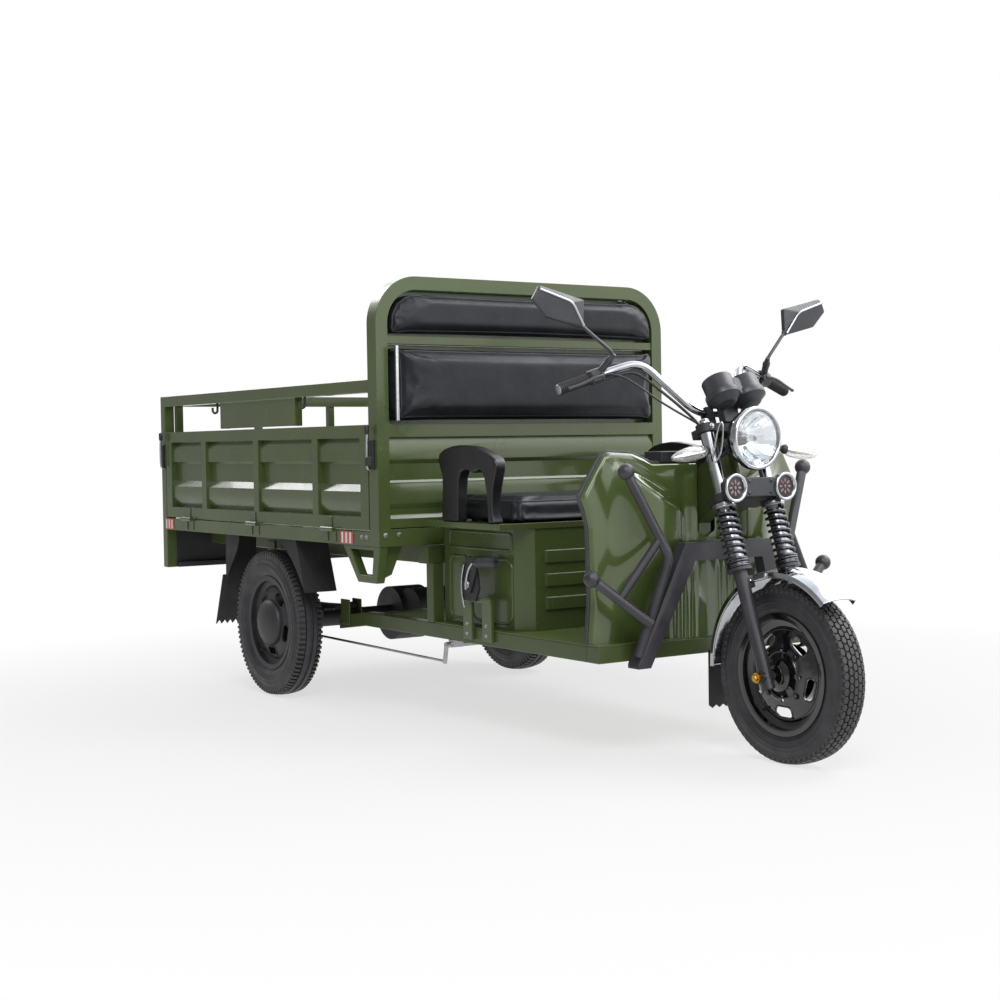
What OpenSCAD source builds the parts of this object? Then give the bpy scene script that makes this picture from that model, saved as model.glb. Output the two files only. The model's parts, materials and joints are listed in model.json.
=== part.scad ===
// Electric cargo tricycle: drop-sided bed on a leaf-sprung rear axle, cab guard with
// backrest, bench seat, leg shield and a coil-sprung steered fork.
// Millimetres, X forward, Y left, Z up, origin on the ground under the middle.

/* [Overall] */
// Length of the bed, from the tail posts to the front face of the guard
bed_l = 1712; // [1500:1:2000]
// Distance from the front face of the guard to the leg shield
cab_l = 881; // [800:1:1000]
// Distance from the leg shield to the front axle
fork_reach = 330; // [325:1:400]
// Distance from the tail posts to the rear axle
tail_l = 883; // [800:1:1000]
// Distance between the centre planes of the rear wheels
track = 1020; // [940:1:1030]

/* [Wheels] */
// Diameter of the front tyre
front_tyre_d = 486; // [470:1:500]
// Width of the front tyre
front_tyre_w = 88; // [80:1:92]
// Diameter of the rear tyres
rear_tyre_d = 516; // [500:1:530]
// Width of the rear tyres
rear_tyre_w = 98; // [90:1:104]
// Bead seat diameter of all three rims
bead_d = 304; // [296:1:312]

/* [Bed] */
// Outer width of the bed and the cab guard
bed_w = 1140; // [1110:1:1200]
// Height of the deck above the ground
deck_z = 605; // [595:1:620]
// Height of the drop sides
drop_h = 331; // [300:1:340]
// Thickness of the drop sides and the tailgate
drop_t = 38; // [34:1:40]
// Height of the top face of the side rails
rail_top = 1082; // [1060:1:1100]

/* [Guard and seat] */
// Height of the top of the cab guard
guard_top = 1404; // [1390:1:1440]
// Outer radius of the guard's upper corners
guard_r = 150; // [130:1:170]
// Width of the guard's tube, across the vehicle
guard_tube = 42; // [38:1:46]
// Width of the seat cushion
seat_w = 770; // [700:1:776]
// Thickness of the seat cushion
seat_t = 74; // [60:1:90]

/* [Steering] */
// Lean of the fork from the vertical
rake = 19; // [17:0.5:20]
// Distance between the two fork legs
fork_w = 180; // [178:1:186]
// Turns of each fork spring
spring_turns = 9; // [7:1:11]
// Wire diameter of the fork springs
spring_wire = 8; // [6:0.5:9]
// Diameter of the headlamp
lamp_d = 178; // [160:1:186]

/* [Hidden] */
$fn = 48;
overall_l = bed_l + cab_l + fork_reach + front_tyre_d / 2;
x_tail = -overall_l / 2;
x_rear = x_tail + tail_l;
guard_x = x_tail + bed_l;
shield_x = guard_x + cab_l;
x_front = shield_x + fork_reach;
z_front = front_tyre_d / 2;
z_rear = rear_tyre_d / 2;
half_w = bed_w / 2;
bead_r = bead_d / 2;

tube = 40;
sheet = 4;
beam_h = 45;
beam_z = deck_z - beam_h;
drop_z = deck_z + 5;
drop_top = drop_z + drop_h;
guard_d = 56;
guard_back = guard_x - guard_d;
guard_in = half_w - guard_tube;
gate_x = x_tail + 20;
post_z = beam_z - 150;
rib_out = 6;
rib_in = 22;

floor_z = 314;
floor_y = track / 2 - 119;
shield_top = 814;
shield_turn = 6.4;
rail_y = floor_y - tube;
beam_x = shield_x - 60;
upper_z = beam_z - 60;
seat_x = guard_x + 61;
seat_front = guard_x + 473;
seat_z = 640;
box_back = guard_x + 31;
box_front = guard_x + 463;
box_y = floor_y - 39;
arm_y = seat_w / 2 + 7;
arm_t = 42;
bar_low = drop_top - 40;
bar_high = drop_top + 0.596 * (guard_top - guard_tube - drop_top);
bar_h = 24;

hinge_r = 8;
pin_r = 4;
hinge_out = 10.4;
hinge_z = deck_z + 2.5;
drop_back = x_tail + tube + 6;
drop_front = guard_back - 6;
drop_mid = (drop_back + drop_front) / 2;
stile_pitch = 446;
hinge_pitch = 587;

leg_y = fork_w / 2;
stem_x = -40;
stem_r = 15;
axle_r = 7;
slider_top = 300;
spring_top = 475;
yoke_low = 487;
yoke_high = 690;
fork_top = 702;
bar_s = 762;
fender_r = 275;
fender_tip = 23;

// Small shared helpers

module block(lo, hi) {
    translate(lo) cube(hi - lo);
}

module both() {
    children();
    mirror([0, 1, 0]) children();
}

module rod(a, b, d) {
    v = b - a;
    translate(a)
        rotate([0, acos(v.z / norm(v)), atan2(v.y, v.x)])
            cylinder(d = d, h = norm(v));
}

// A cylinder along Y between two values of y
module cross_rod(x, z, y0, y1, r) {
    translate([x, y1, z]) rotate([90, 0, 0]) cylinder(r = r, h = y1 - y0);
}

// An outline drawn in X and Z, as thick as from y0 to y1
module side_plate(y0, y1) {
    translate([0, y1, 0]) rotate([90, 0, 0]) linear_extrude(y1 - y0) children();
}

// An outline drawn in Y and Z, as thick as from x0 to x1
module front_plate(x0, x1) {
    translate([x0, 0, 0]) rotate([90, 0, 90]) linear_extrude(x1 - x0) children();
}

// Points of a rounded rectangle, counter-clockwise
function arc(c, r, a0, a1, n = 6) =
    [for (i = [0 : n]) let (a = a0 + (a1 - a0) * i / n) c + r * [cos(a), sin(a)]];
function rounded(lo, hi, r_low, r_high) = concat(
    arc([hi.x - r_low, lo.y + r_low], r_low, -90, 0),
    arc([hi.x - r_high, hi.y - r_high], r_high, 0, 90),
    arc([lo.x + r_high, hi.y - r_high], r_high, 90, 180),
    arc([lo.x + r_low, lo.y + r_low], r_low, 180, 270)
);

// A round tube swept along a path, its corners first turned into arcs
function unit(v) = v / norm(v);
function corner_arc(a, b, c, r, n) =
    let (d1 = unit(a - b), d2 = unit(c - b), half = acos(d1 * d2) / 2,
         mid = b + unit(d1 + d2) * r / sin(half), e1 = unit(b + d1 * r / tan(half) - mid),
         f = b + d2 * r / tan(half) - mid, e2 = unit(f - (f * e1) * e1), turn = 180 - 2 * half)
    [for (i = [0 : n]) mid + r * (cos(turn * i / n) * e1 + sin(turn * i / n) * e2)];
function bent(p, r, n = 5) = concat(
    [p[0]],
    [for (i = [1 : len(p) - 2]) each corner_arc(p[i - 1], p[i], p[i + 1], r, n)],
    [p[len(p) - 1]]
);
function tangent(p, i) = unit(p[min(i + 1, len(p) - 1)] - p[max(i - 1, 0)]);
function carried(p, u, i = 0) =
    let (t = tangent(p, i), n = unit(u - (u * t) * t))
    i == len(p) - 1 ? [n] : concat([n], carried(p, n, i + 1));

module swept(p, r, sides = 12, up = [0, 0, 1]) {
    last = len(p) - 1;
    n = carried(p, up);
    turn = 360 / sides;
    rings = [for (i = [0 : last]) for (k = [0 : sides - 1])
        p[i] + r * (cos(turn * k) * n[i] + sin(turn * k) * cross(tangent(p, i), n[i]))];
    walls = [for (i = [0 : last - 1]) for (k = [0 : sides - 1])
        let (a = i * sides + k, b = i * sides + (k + 1) % sides)
            each [[a, a + sides, b + sides], [a, b + sides, b]]];
    polyhedron(rings, concat(walls, [[for (k = [0 : sides - 1]) k]],
        [[for (k = [sides - 1 : -1 : 0]) last * sides + k]]));
}

// Fork frame: origin on the front axle, local z up along the legs
module on_fork() {
    translate([x_front, 0, z_front]) rotate([0, -rake, 0]) children();
}
function fork_point(x, y, s) =
    [x_front + x * cos(rake) - s * sin(rake), y, z_front + x * sin(rake) + s * cos(rake)];

// Pressed panels

// A ribbed sheet drawn as depth and height: two raised ribs between top and bottom
module ribbed_sheet(bottom, top) {
    h = top - bottom;
    ribs = [[rib_in, 0], [rib_in, 0.03], [rib_out, 0.15], [rib_out, 0.32], [rib_in, 0.41], [rib_in, 0.67],
            [rib_out, 0.7], [rib_out, 0.88], [rib_in, 0.985], [rib_in, 1]];
    outer = [for (p = ribs) [p[0], bottom + p[1] * h]];
    inner = [for (i = [len(ribs) - 1 : -1 : 0]) outer[i] + [3, 0]];
    polygon(concat(outer, inner));
}

// A drop side or gate lying along local x, its outer face at depth 0, from z = drop_z up
module ribbed_panel(length, stiles, end_w) {
    rim = 40;
    difference() {
        block([0, 0, drop_z], [length, drop_t, drop_top]);
        block([end_w, -1, drop_z + rim], [length - end_w, drop_t + 1, drop_top - rim]);
    }
    for (s = stiles) block([s - tube / 2, 0, drop_z + rim], [s + tube / 2, drop_t, drop_top - rim]);
    translate([end_w, 0, 0]) rotate([90, 0, 90]) linear_extrude(length - 2 * end_w)
        ribbed_sheet(drop_z + rim, drop_top - rim);
}

// Three-knuckle hinge along local x on a face at depth 0; the middle knuckle turns on the pin
module hinge_bar(x, length, r) {
    translate([x, -hinge_out, hinge_z]) rotate([0, 90, 0]) cylinder(r = r, h = length);
}

module hinge_fixed() {
    for (x = [-40, 14]) {
        hinge_bar(x, 26, hinge_r);
        block([x, -3, deck_z - 38], [x + 26, 0, hinge_z]);
    }
    hinge_bar(-40, 80, pin_r);
}

module hinge_moving() {
    difference() {
        hinge_bar(-13.5, 27, hinge_r);
        hinge_bar(-20, 40, pin_r + 0.05);
    }
    block([-13.5, -3, hinge_z], [13.5, 0, drop_z + 38]);
}

module on_right_face() {
    translate([0, -half_w, 0]) children();
}

module on_tail_face() {
    translate([gate_x, 0, 0]) rotate([0, 0, -90]) children();
}

drop_hinges = [drop_mid - hinge_pitch, drop_mid - 20, drop_mid + hinge_pitch - 40];
gate_hinges = [-380, 0, 380];

// Wheels

// Tyre about local z: casing, tread band with three grooves, bead feet, hollow inside
module tyre(d, w) {
    mid = bead_r + (d / 2 - bead_r) * 0.47;
    case_r = w / 2;
    foot = 33;
    rotate_extrude($fn = 120) difference() {
        union() {
            translate([mid, 0]) circle(r = case_r);
            intersection() {
                translate([d / 2 - 34, -w * 0.43]) square([34, w * 0.86]);
                translate([d / 2 - 140, 0]) circle(r = 140);
            }
            translate([bead_r, -foot]) square([22, 2 * foot]);
        }
        translate([mid, 0]) circle(r = case_r - 12);
        translate([0, -foot * 0.55]) square([mid, foot * 1.1]);
        translate([0, -w]) square([bead_r, 2 * w]);
        for (g = [-0.22, 0, 0.22]) translate([d / 2 - 6, g * w - 2.5]) square([8, 5]);
        for (s = [-1, 1]) translate([bead_r - 1, s > 0 ? foot : -foot - w]) square([15, w]);
    }
}

// Rim, dished disc with windows and hub about local z; the outer face looks to -z
module steel_wheel(hub_out, hub_in, bore_r, drum_z, drum_r, cap_r) {
    b = bead_r;
    difference() {
        union() {
            rotate_extrude($fn = 96) {
                polygon([[b + 13, 38], [b + 13, 35], [b, 33], [b, 17], [b - 18, 11], [b - 18, -11],
                    [b, -17], [b, -33], [b + 13, -35], [b + 13, -38], [b + 9, -38], [b - 4, -36],
                    [b - 4, -19], [b - 22, -13], [b - 22, 13], [b - 4, 19], [b - 4, 36], [b + 9, 38]]);
                polygon([[b - 20, -5], [b - 20, -10], [b - 46, -26], [78, -29], [cap_r - 3, -34],
                    [cap_r - 3, -29], [78, -24], [b - 44, -21]]);
                polygon([[bore_r, -hub_out], [cap_r * 0.55, -hub_out], [cap_r, -hub_out + 12], [cap_r, -24],
                    [26, -16], [26, hub_in], [bore_r, hub_in]]);
                polygon([[22, drum_z[0]], [drum_r, drum_z[0]], [drum_r, drum_z[1]], [drum_r - 8, drum_z[1]],
                    [drum_r - 8, drum_z[0] + 8], [22, drum_z[0] + 8]]);
            }
        }
        for (i = [0 : 4]) rotate([0, 0, 72 * i + 18]) {
            for (s = [-17, 17]) translate([101, s, -36]) cylinder(r = 13, h = 28);
            translate([88, -17, -36]) cube([26, 34, 28]);
        }
        for (i = [0 : 3]) rotate([0, 0, 90 * i]) translate([68, 0, -40]) cylinder(r = 5, h = 24);
    }
}

module at_front_wheel() {
    translate([x_front, 0, z_front]) rotate([-90, 0, 0]) children();
}

module at_rear_right() {
    translate([x_rear, -track / 2, z_rear]) rotate([-90, 0, 0]) children();
}

module at_rear_left() {
    translate([x_rear, track / 2, z_rear]) rotate([90, 0, 0]) children();
}

module front_tyre() {
    color("#1c1c1e") at_front_wheel() tyre(front_tyre_d, front_tyre_w);
}

module front_wheel() {
    color("#202022") at_front_wheel() steel_wheel(58, 58, axle_r + 0.1, [14, 50], 78, 44);
}

module rear_tyre_right() {
    color("#1c1c1e") at_rear_right() tyre(rear_tyre_d, rear_tyre_w);
}

module rear_wheel_right() {
    color("#202022") at_rear_right() half_shaft_wheel();
}

module rear_tyre_left() {
    color("#1c1c1e") at_rear_left() tyre(rear_tyre_d, rear_tyre_w);
}

module rear_wheel_left() {
    color("#202022") at_rear_left() half_shaft_wheel();
}

module half_shaft_wheel() {
    steel_wheel(62, 30, 0, [10, 50], 92, 52);
    translate([0, 0, 20]) cylinder(r = 15.9, h = 92);
}

// Chassis

module chassis_rails() {
    color("#4c5b30") both() {
        side_plate(-floor_y, -rail_y)
            polygon([[beam_x, floor_z - 46], [beam_x, floor_z], [x_rear + 410, floor_z],
                [x_rear + 230, floor_z - 24], [x_rear + 230, floor_z - 70], [x_rear + 410, floor_z - 46]]);
        block([x_tail + 58, -floor_y, upper_z], [guard_back + 12, -rail_y, beam_z]);
    }
}

module cross_members() {
    color("#4c5b30") {
        block([beam_x, -floor_y, floor_z - 46], [shield_x - 5, floor_y, floor_z]);
        block([guard_back + 12, -floor_y - 14, upper_z], [guard_x + 16, floor_y + 14, beam_z]);
        for (x = [x_rear + 410, guard_x + 1, guard_x + 431])
            block([x, -rail_y, floor_z - 43], [x + 40, rail_y, floor_z - 3]);
        for (x = [x_tail + 120, x_rear - 380, x_rear + 300])
            block([x, -rail_y, upper_z + 10], [x + 40, rail_y, beam_z - 10]);
        both() block([guard_x - 17, -floor_y, floor_z], [guard_x + 23, -rail_y, upper_z]);
    }
}

spine_x = shield_x - 62;
neck_low = fork_point(stem_x - 8, 0, yoke_low + 55);
neck_high = fork_point(stem_x - 8, 0, yoke_high - 31.5);

module head_frame() {
    color("#4c5b30") difference() {
        union() {
            side_plate(-22, 22)
                polygon([[spine_x, floor_z + sheet], [spine_x + 52, floor_z + sheet],
                    [spine_x + 52, shield_top - 174], [neck_low.x, neck_low.z], [neck_high.x, neck_high.z],
                    [spine_x + 52, shield_top - 14], [spine_x, shield_top - 69]]);
            on_fork() translate([stem_x, 0, yoke_low + 31]) cylinder(r = 28, h = yoke_high - yoke_low - 37);
        }
        on_fork() translate([stem_x, 0, yoke_low]) cylinder(r = stem_r + 0.1, h = 300);
    }
}

module floor_panel() {
    color("#55653a") block([box_back, -floor_y, floor_z], [shield_x - 5, floor_y, floor_z + sheet]);
}

// Half outline of the leg shield in its own plane: distance from the middle, height
shield_low = floor_z + sheet;
shield_edge = [[0, shield_low], [floor_y + 1, shield_low], [floor_y - 9, 440], [floor_y - 5, 640],
               [floor_y + 7, 690], [floor_y + 21, 724], [floor_y - 51, 838], [floor_y - 69, 847],
               [235, 842], [190, 828], [152, shield_top], [0, shield_top]];

module shield_half() {
    translate([shield_x, 0, 0]) rotate([0, 0, -shield_turn]) mirror([0, 1, 0]) children();
}

module leg_shield() {
    flange = 50;
    color("#4c5b30") difference() {
        both() shield_half() {
            front_plate(-5, 0) polygon(shield_edge);
            difference() {
                front_plate(-flange, 0) polygon(shield_edge);
                front_plate(-flange - 1, 1) offset(delta = -4)
                    polygon(concat([[-20, shield_low - 38], [floor_y + 5, shield_low - 38]],
                        [for (i = [1 : 11]) shield_edge[i]], [[-20, shield_top]]));
            }
            intersection() {
                hull() {
                    translate([-20, 130, 560]) sphere(r = 44, $fn = 32);
                    translate([-8, 138, 690]) sphere(r = 62, $fn = 32);
                    translate([-20, 196, 730]) sphere(r = 56, $fn = 32);
                    translate([-26, 170, 600]) sphere(r = 54, $fn = 32);
                    translate([-30, 118, 740]) sphere(r = 42, $fn = 32);
                }
                block([-3, 60, 400], [100, 300, shield_top - 2]);
            }
        }
        block([shield_x - 110, -32, shield_top - 202], [shield_x + 90, 32, shield_top + 86]);
    }
}

module inner_panel() {
    top = shield_top - 24;
    back = spine_x - 26;
    side = floor_y - 33;
    half = [[0, shield_low], [side, shield_low], [side, top - 90], [side - 58, top], [0, top]];
    color("#4c5b30") {
        both() front_plate(back, back + sheet) polygon(half);
        block([back + sheet, -40, shield_low], [spine_x, 40, top - 90]);
    }
}

// Open tray on top of the shield, with a pocket on each side of the neck
module dash_tray() {
    rim = [[-98, 148], [-25, 146], [-18, 90], [-14, 40]];
    pocket = [[-88, 138], [-38, 136], [-30, 90], [-30, 60], [-88, 60]];
    color("#18181a") translate([shield_x, 0, shield_top + 0.2]) difference() {
        linear_extrude(32) polygon(concat(rim, [for (i = [3 : -1 : 0]) [rim[i].x, -rim[i].y]]));
        both() translate([0, 0, 13.8]) linear_extrude(30) polygon(pocket);
        block([-70, -28, -14], [90, 28, 11.8]);
    }
}

// Crash bars: a box strut from the middle down to the floor beam and ball-ended tubes on it
module crash_bar() {
    bar = 28;
    tip_high = [48, -330, 793];
    tip_low = [24, -434, 506];
    translate([shield_x, 0, 0]) {
        block([0.3, -56, 543], [93, 0, 593]);
        block([54, -160, 543], [93, -50, 593]);
        hull() {
            block([57, -160, 543], [93, -125, 593]);
            block([-4.8, -290, 250], [42, -246, 262]);
        }
        swept(bent([tip_high, [94, -219, 558], [36, -286, 285]], 60), bar / 2);
        rod(tip_low, [68, -266, 376], bar);
        rod([82, -246, 604], [44, -356, 446], bar - 4);
        for (p = [tip_high, tip_low]) translate(p) sphere(d = 46);
    }
}

module crash_bar_right() {
    color("#26262a") crash_bar();
}

module crash_bar_left() {
    color("#26262a") mirror([0, 1, 0]) crash_bar();
}

// Seat

seat_hinges = [-260, 200];

deck_low = seat_z - 18;

// Plan of the seat box, moved in by a wall, its front corners cut off
function box_plan(wall, cut) =
    let (y = box_y - wall, x = box_front - wall)
    [[box_back + wall, -y], [x - cut, -y], [x, cut - y], [x, y - cut], [x - cut, y], [box_back + wall, y]];

module seat_box() {
    wall = 3;
    cut = 45;
    color("#4c5b30") {
        difference() {
            translate([0, 0, shield_low]) linear_extrude(deck_low - shield_low)
                polygon(box_plan(0, cut));
            translate([0, 0, floor_z]) linear_extrude(seat_z - floor_z)
                polygon(box_plan(wall, cut - wall / 2));
        }
        for (z = [380, 450, 520]) block([box_front, -270, z], [box_front + 8, 270, z + 36]);
    }
}

// Board over the seat box: its opening is the way to the battery, and the seat lifts on its hinges
module seat_deck() {
    color("#4c5b30") {
        difference() {
            block([seat_x - 12, -arm_y - arm_t - 2, deck_low], [seat_front - 4, arm_y + arm_t + 2, seat_z]);
            block([seat_x + 40, -280, deck_low - 2], [seat_front - 72, 280, seat_z + 1]);
        }
        for (y = seat_hinges) {
            for (s = [0, 41]) cross_rod(seat_x - 6, seat_z + 6, y + s, y + s + 19, 6);
            cross_rod(seat_x - 6, seat_z + 6, y, y + 60, 3);
        }
    }
}

module battery_pack() {
    color("#2b3138") for (i = [0 : 2]) for (s = [-1, 1])
        translate([box_back + 78 + i * 98, s < 0 ? -184 : 4, shield_low]) cube([92, 180, 168]);
}

module seat_cushion() {
    color("#232226") {
        translate([0, 0, seat_z + 0.5]) linear_extrude(8)
            polygon(rounded([seat_x, -seat_w / 2 + 6], [seat_front - 6, seat_w / 2 - 6], 24, 24));
        translate([0, 0, seat_z + 8.5]) linear_extrude(seat_t - 18)
            polygon(rounded([seat_x, -seat_w / 2], [seat_front, seat_w / 2], 40, 40));
        translate([0, 0, seat_z + seat_t - 9.5]) linear_extrude(10)
            polygon(rounded([seat_x + 12, -seat_w / 2 + 12], [seat_front - 12, seat_w / 2 - 12], 34, 34));
        for (y = seat_hinges) difference() {
            union() {
                cross_rod(seat_x - 6, seat_z + 6, y + 19.5, y + 40.5, 6);
                block([seat_x - 6, y + 19.5, seat_z + 0.5], [seat_x + 4, y + 40.5, seat_z + 12]);
            }
            cross_rod(seat_x - 6, seat_z + 6, y + 10, y + 50, 3.05);
        }
    }
}

module armrests() {
    outer = concat([[56, 0], [375, 0]], arc([280, 130], 82, 0, 80), arc([130, 160], 66, 85, 175));
    inner = concat([[110, 26], [310, 26]], arc([250, 105], 62, 5, 80), arc([148, 138], 32, 90, 175));
    color("#1d1c1f") both() side_plate(-arm_y - arm_t, -arm_y) translate([seat_x, seat_z]) difference() {
        polygon(outer);
        polygon(inner);
    }
}

// Guard

module guard_frame() {
    bend_z = guard_top - guard_r;
    bend_y = half_w - guard_r;
    color("#4c5b30") {
        both() {
            block([guard_back, -half_w, beam_z], [guard_x, -guard_in, bend_z]);
            translate([guard_back, -bend_y, bend_z]) rotate([90, 0, 90]) rotate([0, 0, 90])
                rotate_extrude(angle = 90, $fn = 96)
                    translate([guard_r - guard_tube, 0]) square([guard_tube, guard_d]);
        }
        block([guard_back, -bend_y, guard_top - guard_tube], [guard_x, bend_y, guard_top]);
        block([guard_back, -guard_in, beam_z], [guard_x, guard_in, deck_z + 9]);
        block([guard_back, -guard_in, bar_low], [guard_x, guard_in, drop_top]);
        block([guard_back + 6, -guard_in, bar_high], [guard_x - 4, guard_in, bar_high + bar_h]);
    }
}

// Inside of the hoop above the upper bar, drawn smaller by a margin, its top corners round
module hoop_inside(margin, low) {
    y = guard_in - margin;
    top = guard_top - guard_tube - margin;
    intersection() {
        polygon(rounded([-y, deck_z], [y, top], 1, guard_r - guard_tube - margin));
        translate([-y, low]) square([2 * y, guard_top - low]);
    }
}

module guard_panel() {
    back = guard_back + 2;
    color("#4c5b30") {
        translate([guard_x - 14, guard_in, 0]) rotate([0, 0, 180]) rotate([90, 0, 0])
            translate([0, 0, -2 * guard_in]) linear_extrude(2 * guard_in) ribbed_sheet(deck_z + 9, bar_low);
        block([back, -guard_in, drop_top], [back + sheet, guard_in, bar_high]);
        front_plate(back, back + sheet) hoop_inside(0, bar_high + bar_h);
    }
}

module backrest_upper() {
    low = bar_high + bar_h + 5;
    color("#232226") {
        front_plate(guard_back + 6, guard_x + 12) hoop_inside(6, low);
        front_plate(guard_x + 12, guard_x + 22) hoop_inside(16, low + 10);
    }
}

module backrest_lower() {
    y = guard_in - 14;
    low = drop_top + 5;
    top = bar_high - 4;
    color("#232226") {
        front_plate(guard_back + 6, guard_x + 34) polygon(rounded([-y, low], [y, top], 16, 16));
        front_plate(guard_x + 34, guard_x + 46)
            polygon(rounded([12 - y, low + 12], [y - 12, top - 12], 14, 14));
    }
}

// Bed

bed_bars = 6;

module bed_frame() {
    color("#4c5b30") {
        both() {
            block([x_tail + tube, -half_w, beam_z], [guard_back, -half_w + tube, deck_z]);
            on_right_face() for (x = drop_hinges) translate([x, 0, 0]) hinge_fixed();
        }
        block([gate_x, -half_w + tube, beam_z], [gate_x + drop_t, half_w - tube, deck_z]);
        for (i = [1 : bed_bars]) translate([x_tail + i * bed_l / (bed_bars + 1), -half_w + tube, beam_z])
            cube([tube, bed_w - 2 * tube, beam_h - sheet]);
        on_tail_face() for (y = gate_hinges) translate([y, 0, 0]) hinge_fixed();
    }
}

module bed_floor() {
    color("#566544")
        block([gate_x + drop_t, -half_w + tube, deck_z - sheet], [guard_back, half_w - tube, deck_z]);
}

module side_rail() {
    infill = [drop_mid - 307, drop_mid + 295];
    rail_z = rail_top - tube;
    block([x_tail, -half_w, rail_z], [guard_back, -half_w + tube, rail_top]);
    block([x_tail, -half_w, post_z], [x_tail + tube, -half_w + tube, rail_z]);
    block([infill[0], -half_w + 8, drop_top + 6], [infill[1], -half_w + 12, rail_z]);
    for (x = [infill[0], infill[1] - 30])
        block([x, -half_w + 12, drop_top + 6], [x + 30, -half_w + 36, rail_z]);
}

module side_rail_right() {
    color("#4c5b30") side_rail();
}

module side_rail_left() {
    color("#4c5b30") mirror([0, 1, 0]) side_rail();
}

module drop_side() {
    length = drop_front - drop_back;
    translate([drop_back, -half_w, 0])
        ribbed_panel(length, [for (i = [-1 : 1]) length / 2 + i * stile_pitch], 52);
    on_right_face() for (x = drop_hinges) translate([x, 0, 0]) hinge_moving();
}

module drop_side_right() {
    color("#4c5b30") drop_side();
}

module drop_side_left() {
    color("#4c5b30") mirror([0, 1, 0]) drop_side();
}

module tailgate() {
    half = half_w - tube - 6;
    rail_z = rail_top - tube;
    color("#4c5b30") on_tail_face() {
        translate([-half, 0, 0]) ribbed_panel(2 * half, [half - 260, half, half + 260], 52);
        block([-half, 0, rail_z], [half, drop_t, rail_top]);
        for (y = [-half + 14, -165, 165, half - 14]) block([y - 13, 6, drop_top], [y + 13, 32, rail_z]);
        for (y = gate_hinges) translate([y, 0, 0]) hinge_moving();
    }
}

module rear_apron() {
    color("#2c3324") {
        block([gate_x + 10, -half_w + tube, post_z], [gate_x + 14, half_w - tube, beam_z]);
        block([gate_x + 14, -half_w + tube, post_z], [gate_x + 34, half_w - tube, post_z + 20]);
    }
}

module tail_lamps() {
    color("#8c1a18") both() block([gate_x - 8, -470, post_z + 40], [gate_x + 10, -290, post_z + 115]);
}

module latches() {
    color("#1b1b1d") both() {
        block([guard_x - 44, -half_w - 8, drop_top - 141], [guard_x - 18, -half_w, drop_top - 48]);
        block([guard_x - 40, -half_w - 24, drop_top - 129], [guard_x - 22, -half_w - 8, drop_top - 101]);
        block([x_tail + 10, -half_w - 8, drop_top - 141], [x_tail + 34, -half_w, drop_top - 48]);
    }
}

module step_brackets() {
    color("#4c5b30") both() {
        side_plate(-half_w + 4, -half_w + 34) difference() {
            polygon([[guard_back - 185, beam_z], [guard_x - 4, beam_z],
                [guard_x - 30, beam_z - 116], [guard_back - 90, beam_z - 116]]);
            polygon([[guard_back - 138, beam_z - 12], [guard_x - 44, beam_z - 12],
                [guard_x - 56, beam_z - 92], [guard_back - 80, beam_z - 92]]);
        }
        front_plate(guard_x - 34, guard_x - 28)
            polygon([[-half_w + 34, beam_z], [-half_w + 34, beam_z - 100],
                [-half_w + 60, beam_z - 90], [-half_w + 100, beam_z]]);
    }
}

// Rear axle and springs

// One leaf: a bowed strip about the centre c, its underside at radius r
module leaf(c, r, reach) {
    a = asin(reach / r);
    polygon(concat(arc(c, r, 270 - a, 270 + a, 14), arc(c, r - 8.4, 270 + a, 270 - a, 14)));
}

module leaf_springs() {
    reach = 280;
    sag = 12;
    bow = (reach * reach + sag * sag) / (2 * sag);
    pack_z = z_rear + 38;
    centre = [x_rear, pack_z + 16 + bow];
    leaves = [[0, 280], [8, 200], [16, 120]];
    color("#2f3133") both() {
        side_plate(-floor_y, -rail_y) for (l = leaves) leaf(centre, bow + l[0], l[1]);
        for (s = [-1, 1]) cross_rod(x_rear + s * reach, pack_z + 16 + sag + 2, -floor_y, -rail_y, 14);
    }
}

module spring_hangers() {
    eye_z = z_rear + 68;
    color("#4c5b30") both() for (y = [-floor_y - 5, -rail_y]) {
        block([x_rear + 250, y, eye_z - 64], [x_rear + 312, y + 5, eye_z + 24]);
        block([x_rear - 310, y, eye_z - 24], [x_rear - 250, y + 5, upper_z + 30]);
    }
}

drum_y = track / 2 - 58;

module rear_axle() {
    color("#2a2b2d") difference() {
        union() {
            cross_rod(x_rear, z_rear, 7 - drum_y, drum_y - 7, 30);
            cross_rod(x_rear, z_rear, -55, 75, 98);
            cross_rod(x_rear + 118, z_rear + 14, -40, 150, 84);
            both() {
                block([x_rear - 40, -floor_y, z_rear], [x_rear + 40, -rail_y, z_rear + 38]);
                cross_rod(x_rear, z_rear, -drum_y, 12 - drum_y, 84);
                block([x_rear + 60, -drum_y, z_rear - 52], [x_rear + 74, 12 - drum_y, z_rear - 20]);
            }
        }
        both() cross_rod(x_rear, z_rear, -drum_y - 8, 62 - drum_y, 16);
    }
}

module mudguards() {
    r = z_rear + 26;
    out = -track / 2 - 56;
    color("#1a1a1c") both() {
        for (a = [[24, 54], [102, 64]])
            translate([x_rear, out + 112, z_rear]) rotate([90, 0, 0]) rotate([0, 0, a[0]])
                rotate_extrude(angle = a[1], $fn = 120) {
                    translate([r, 0]) square([4, 112]);
                    translate([r - 14, 108]) square([14, 4]);
                }
        for (x = [x_rear + 45, x_rear - 75])
            block([x, -half_w + 10, z_rear + 275], [x + 30, out + 90, beam_z]);
        front_plate(x_rear - 278, x_rear - 274)
            polygon(concat([[out + 112, z_rear + 78], [out, z_rear + 78]],
                [for (i = [0 : 8]) [out + 14 * i, z_rear - (i % 2 == 0 ? 18 : 28)]]));
    }
}

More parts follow.
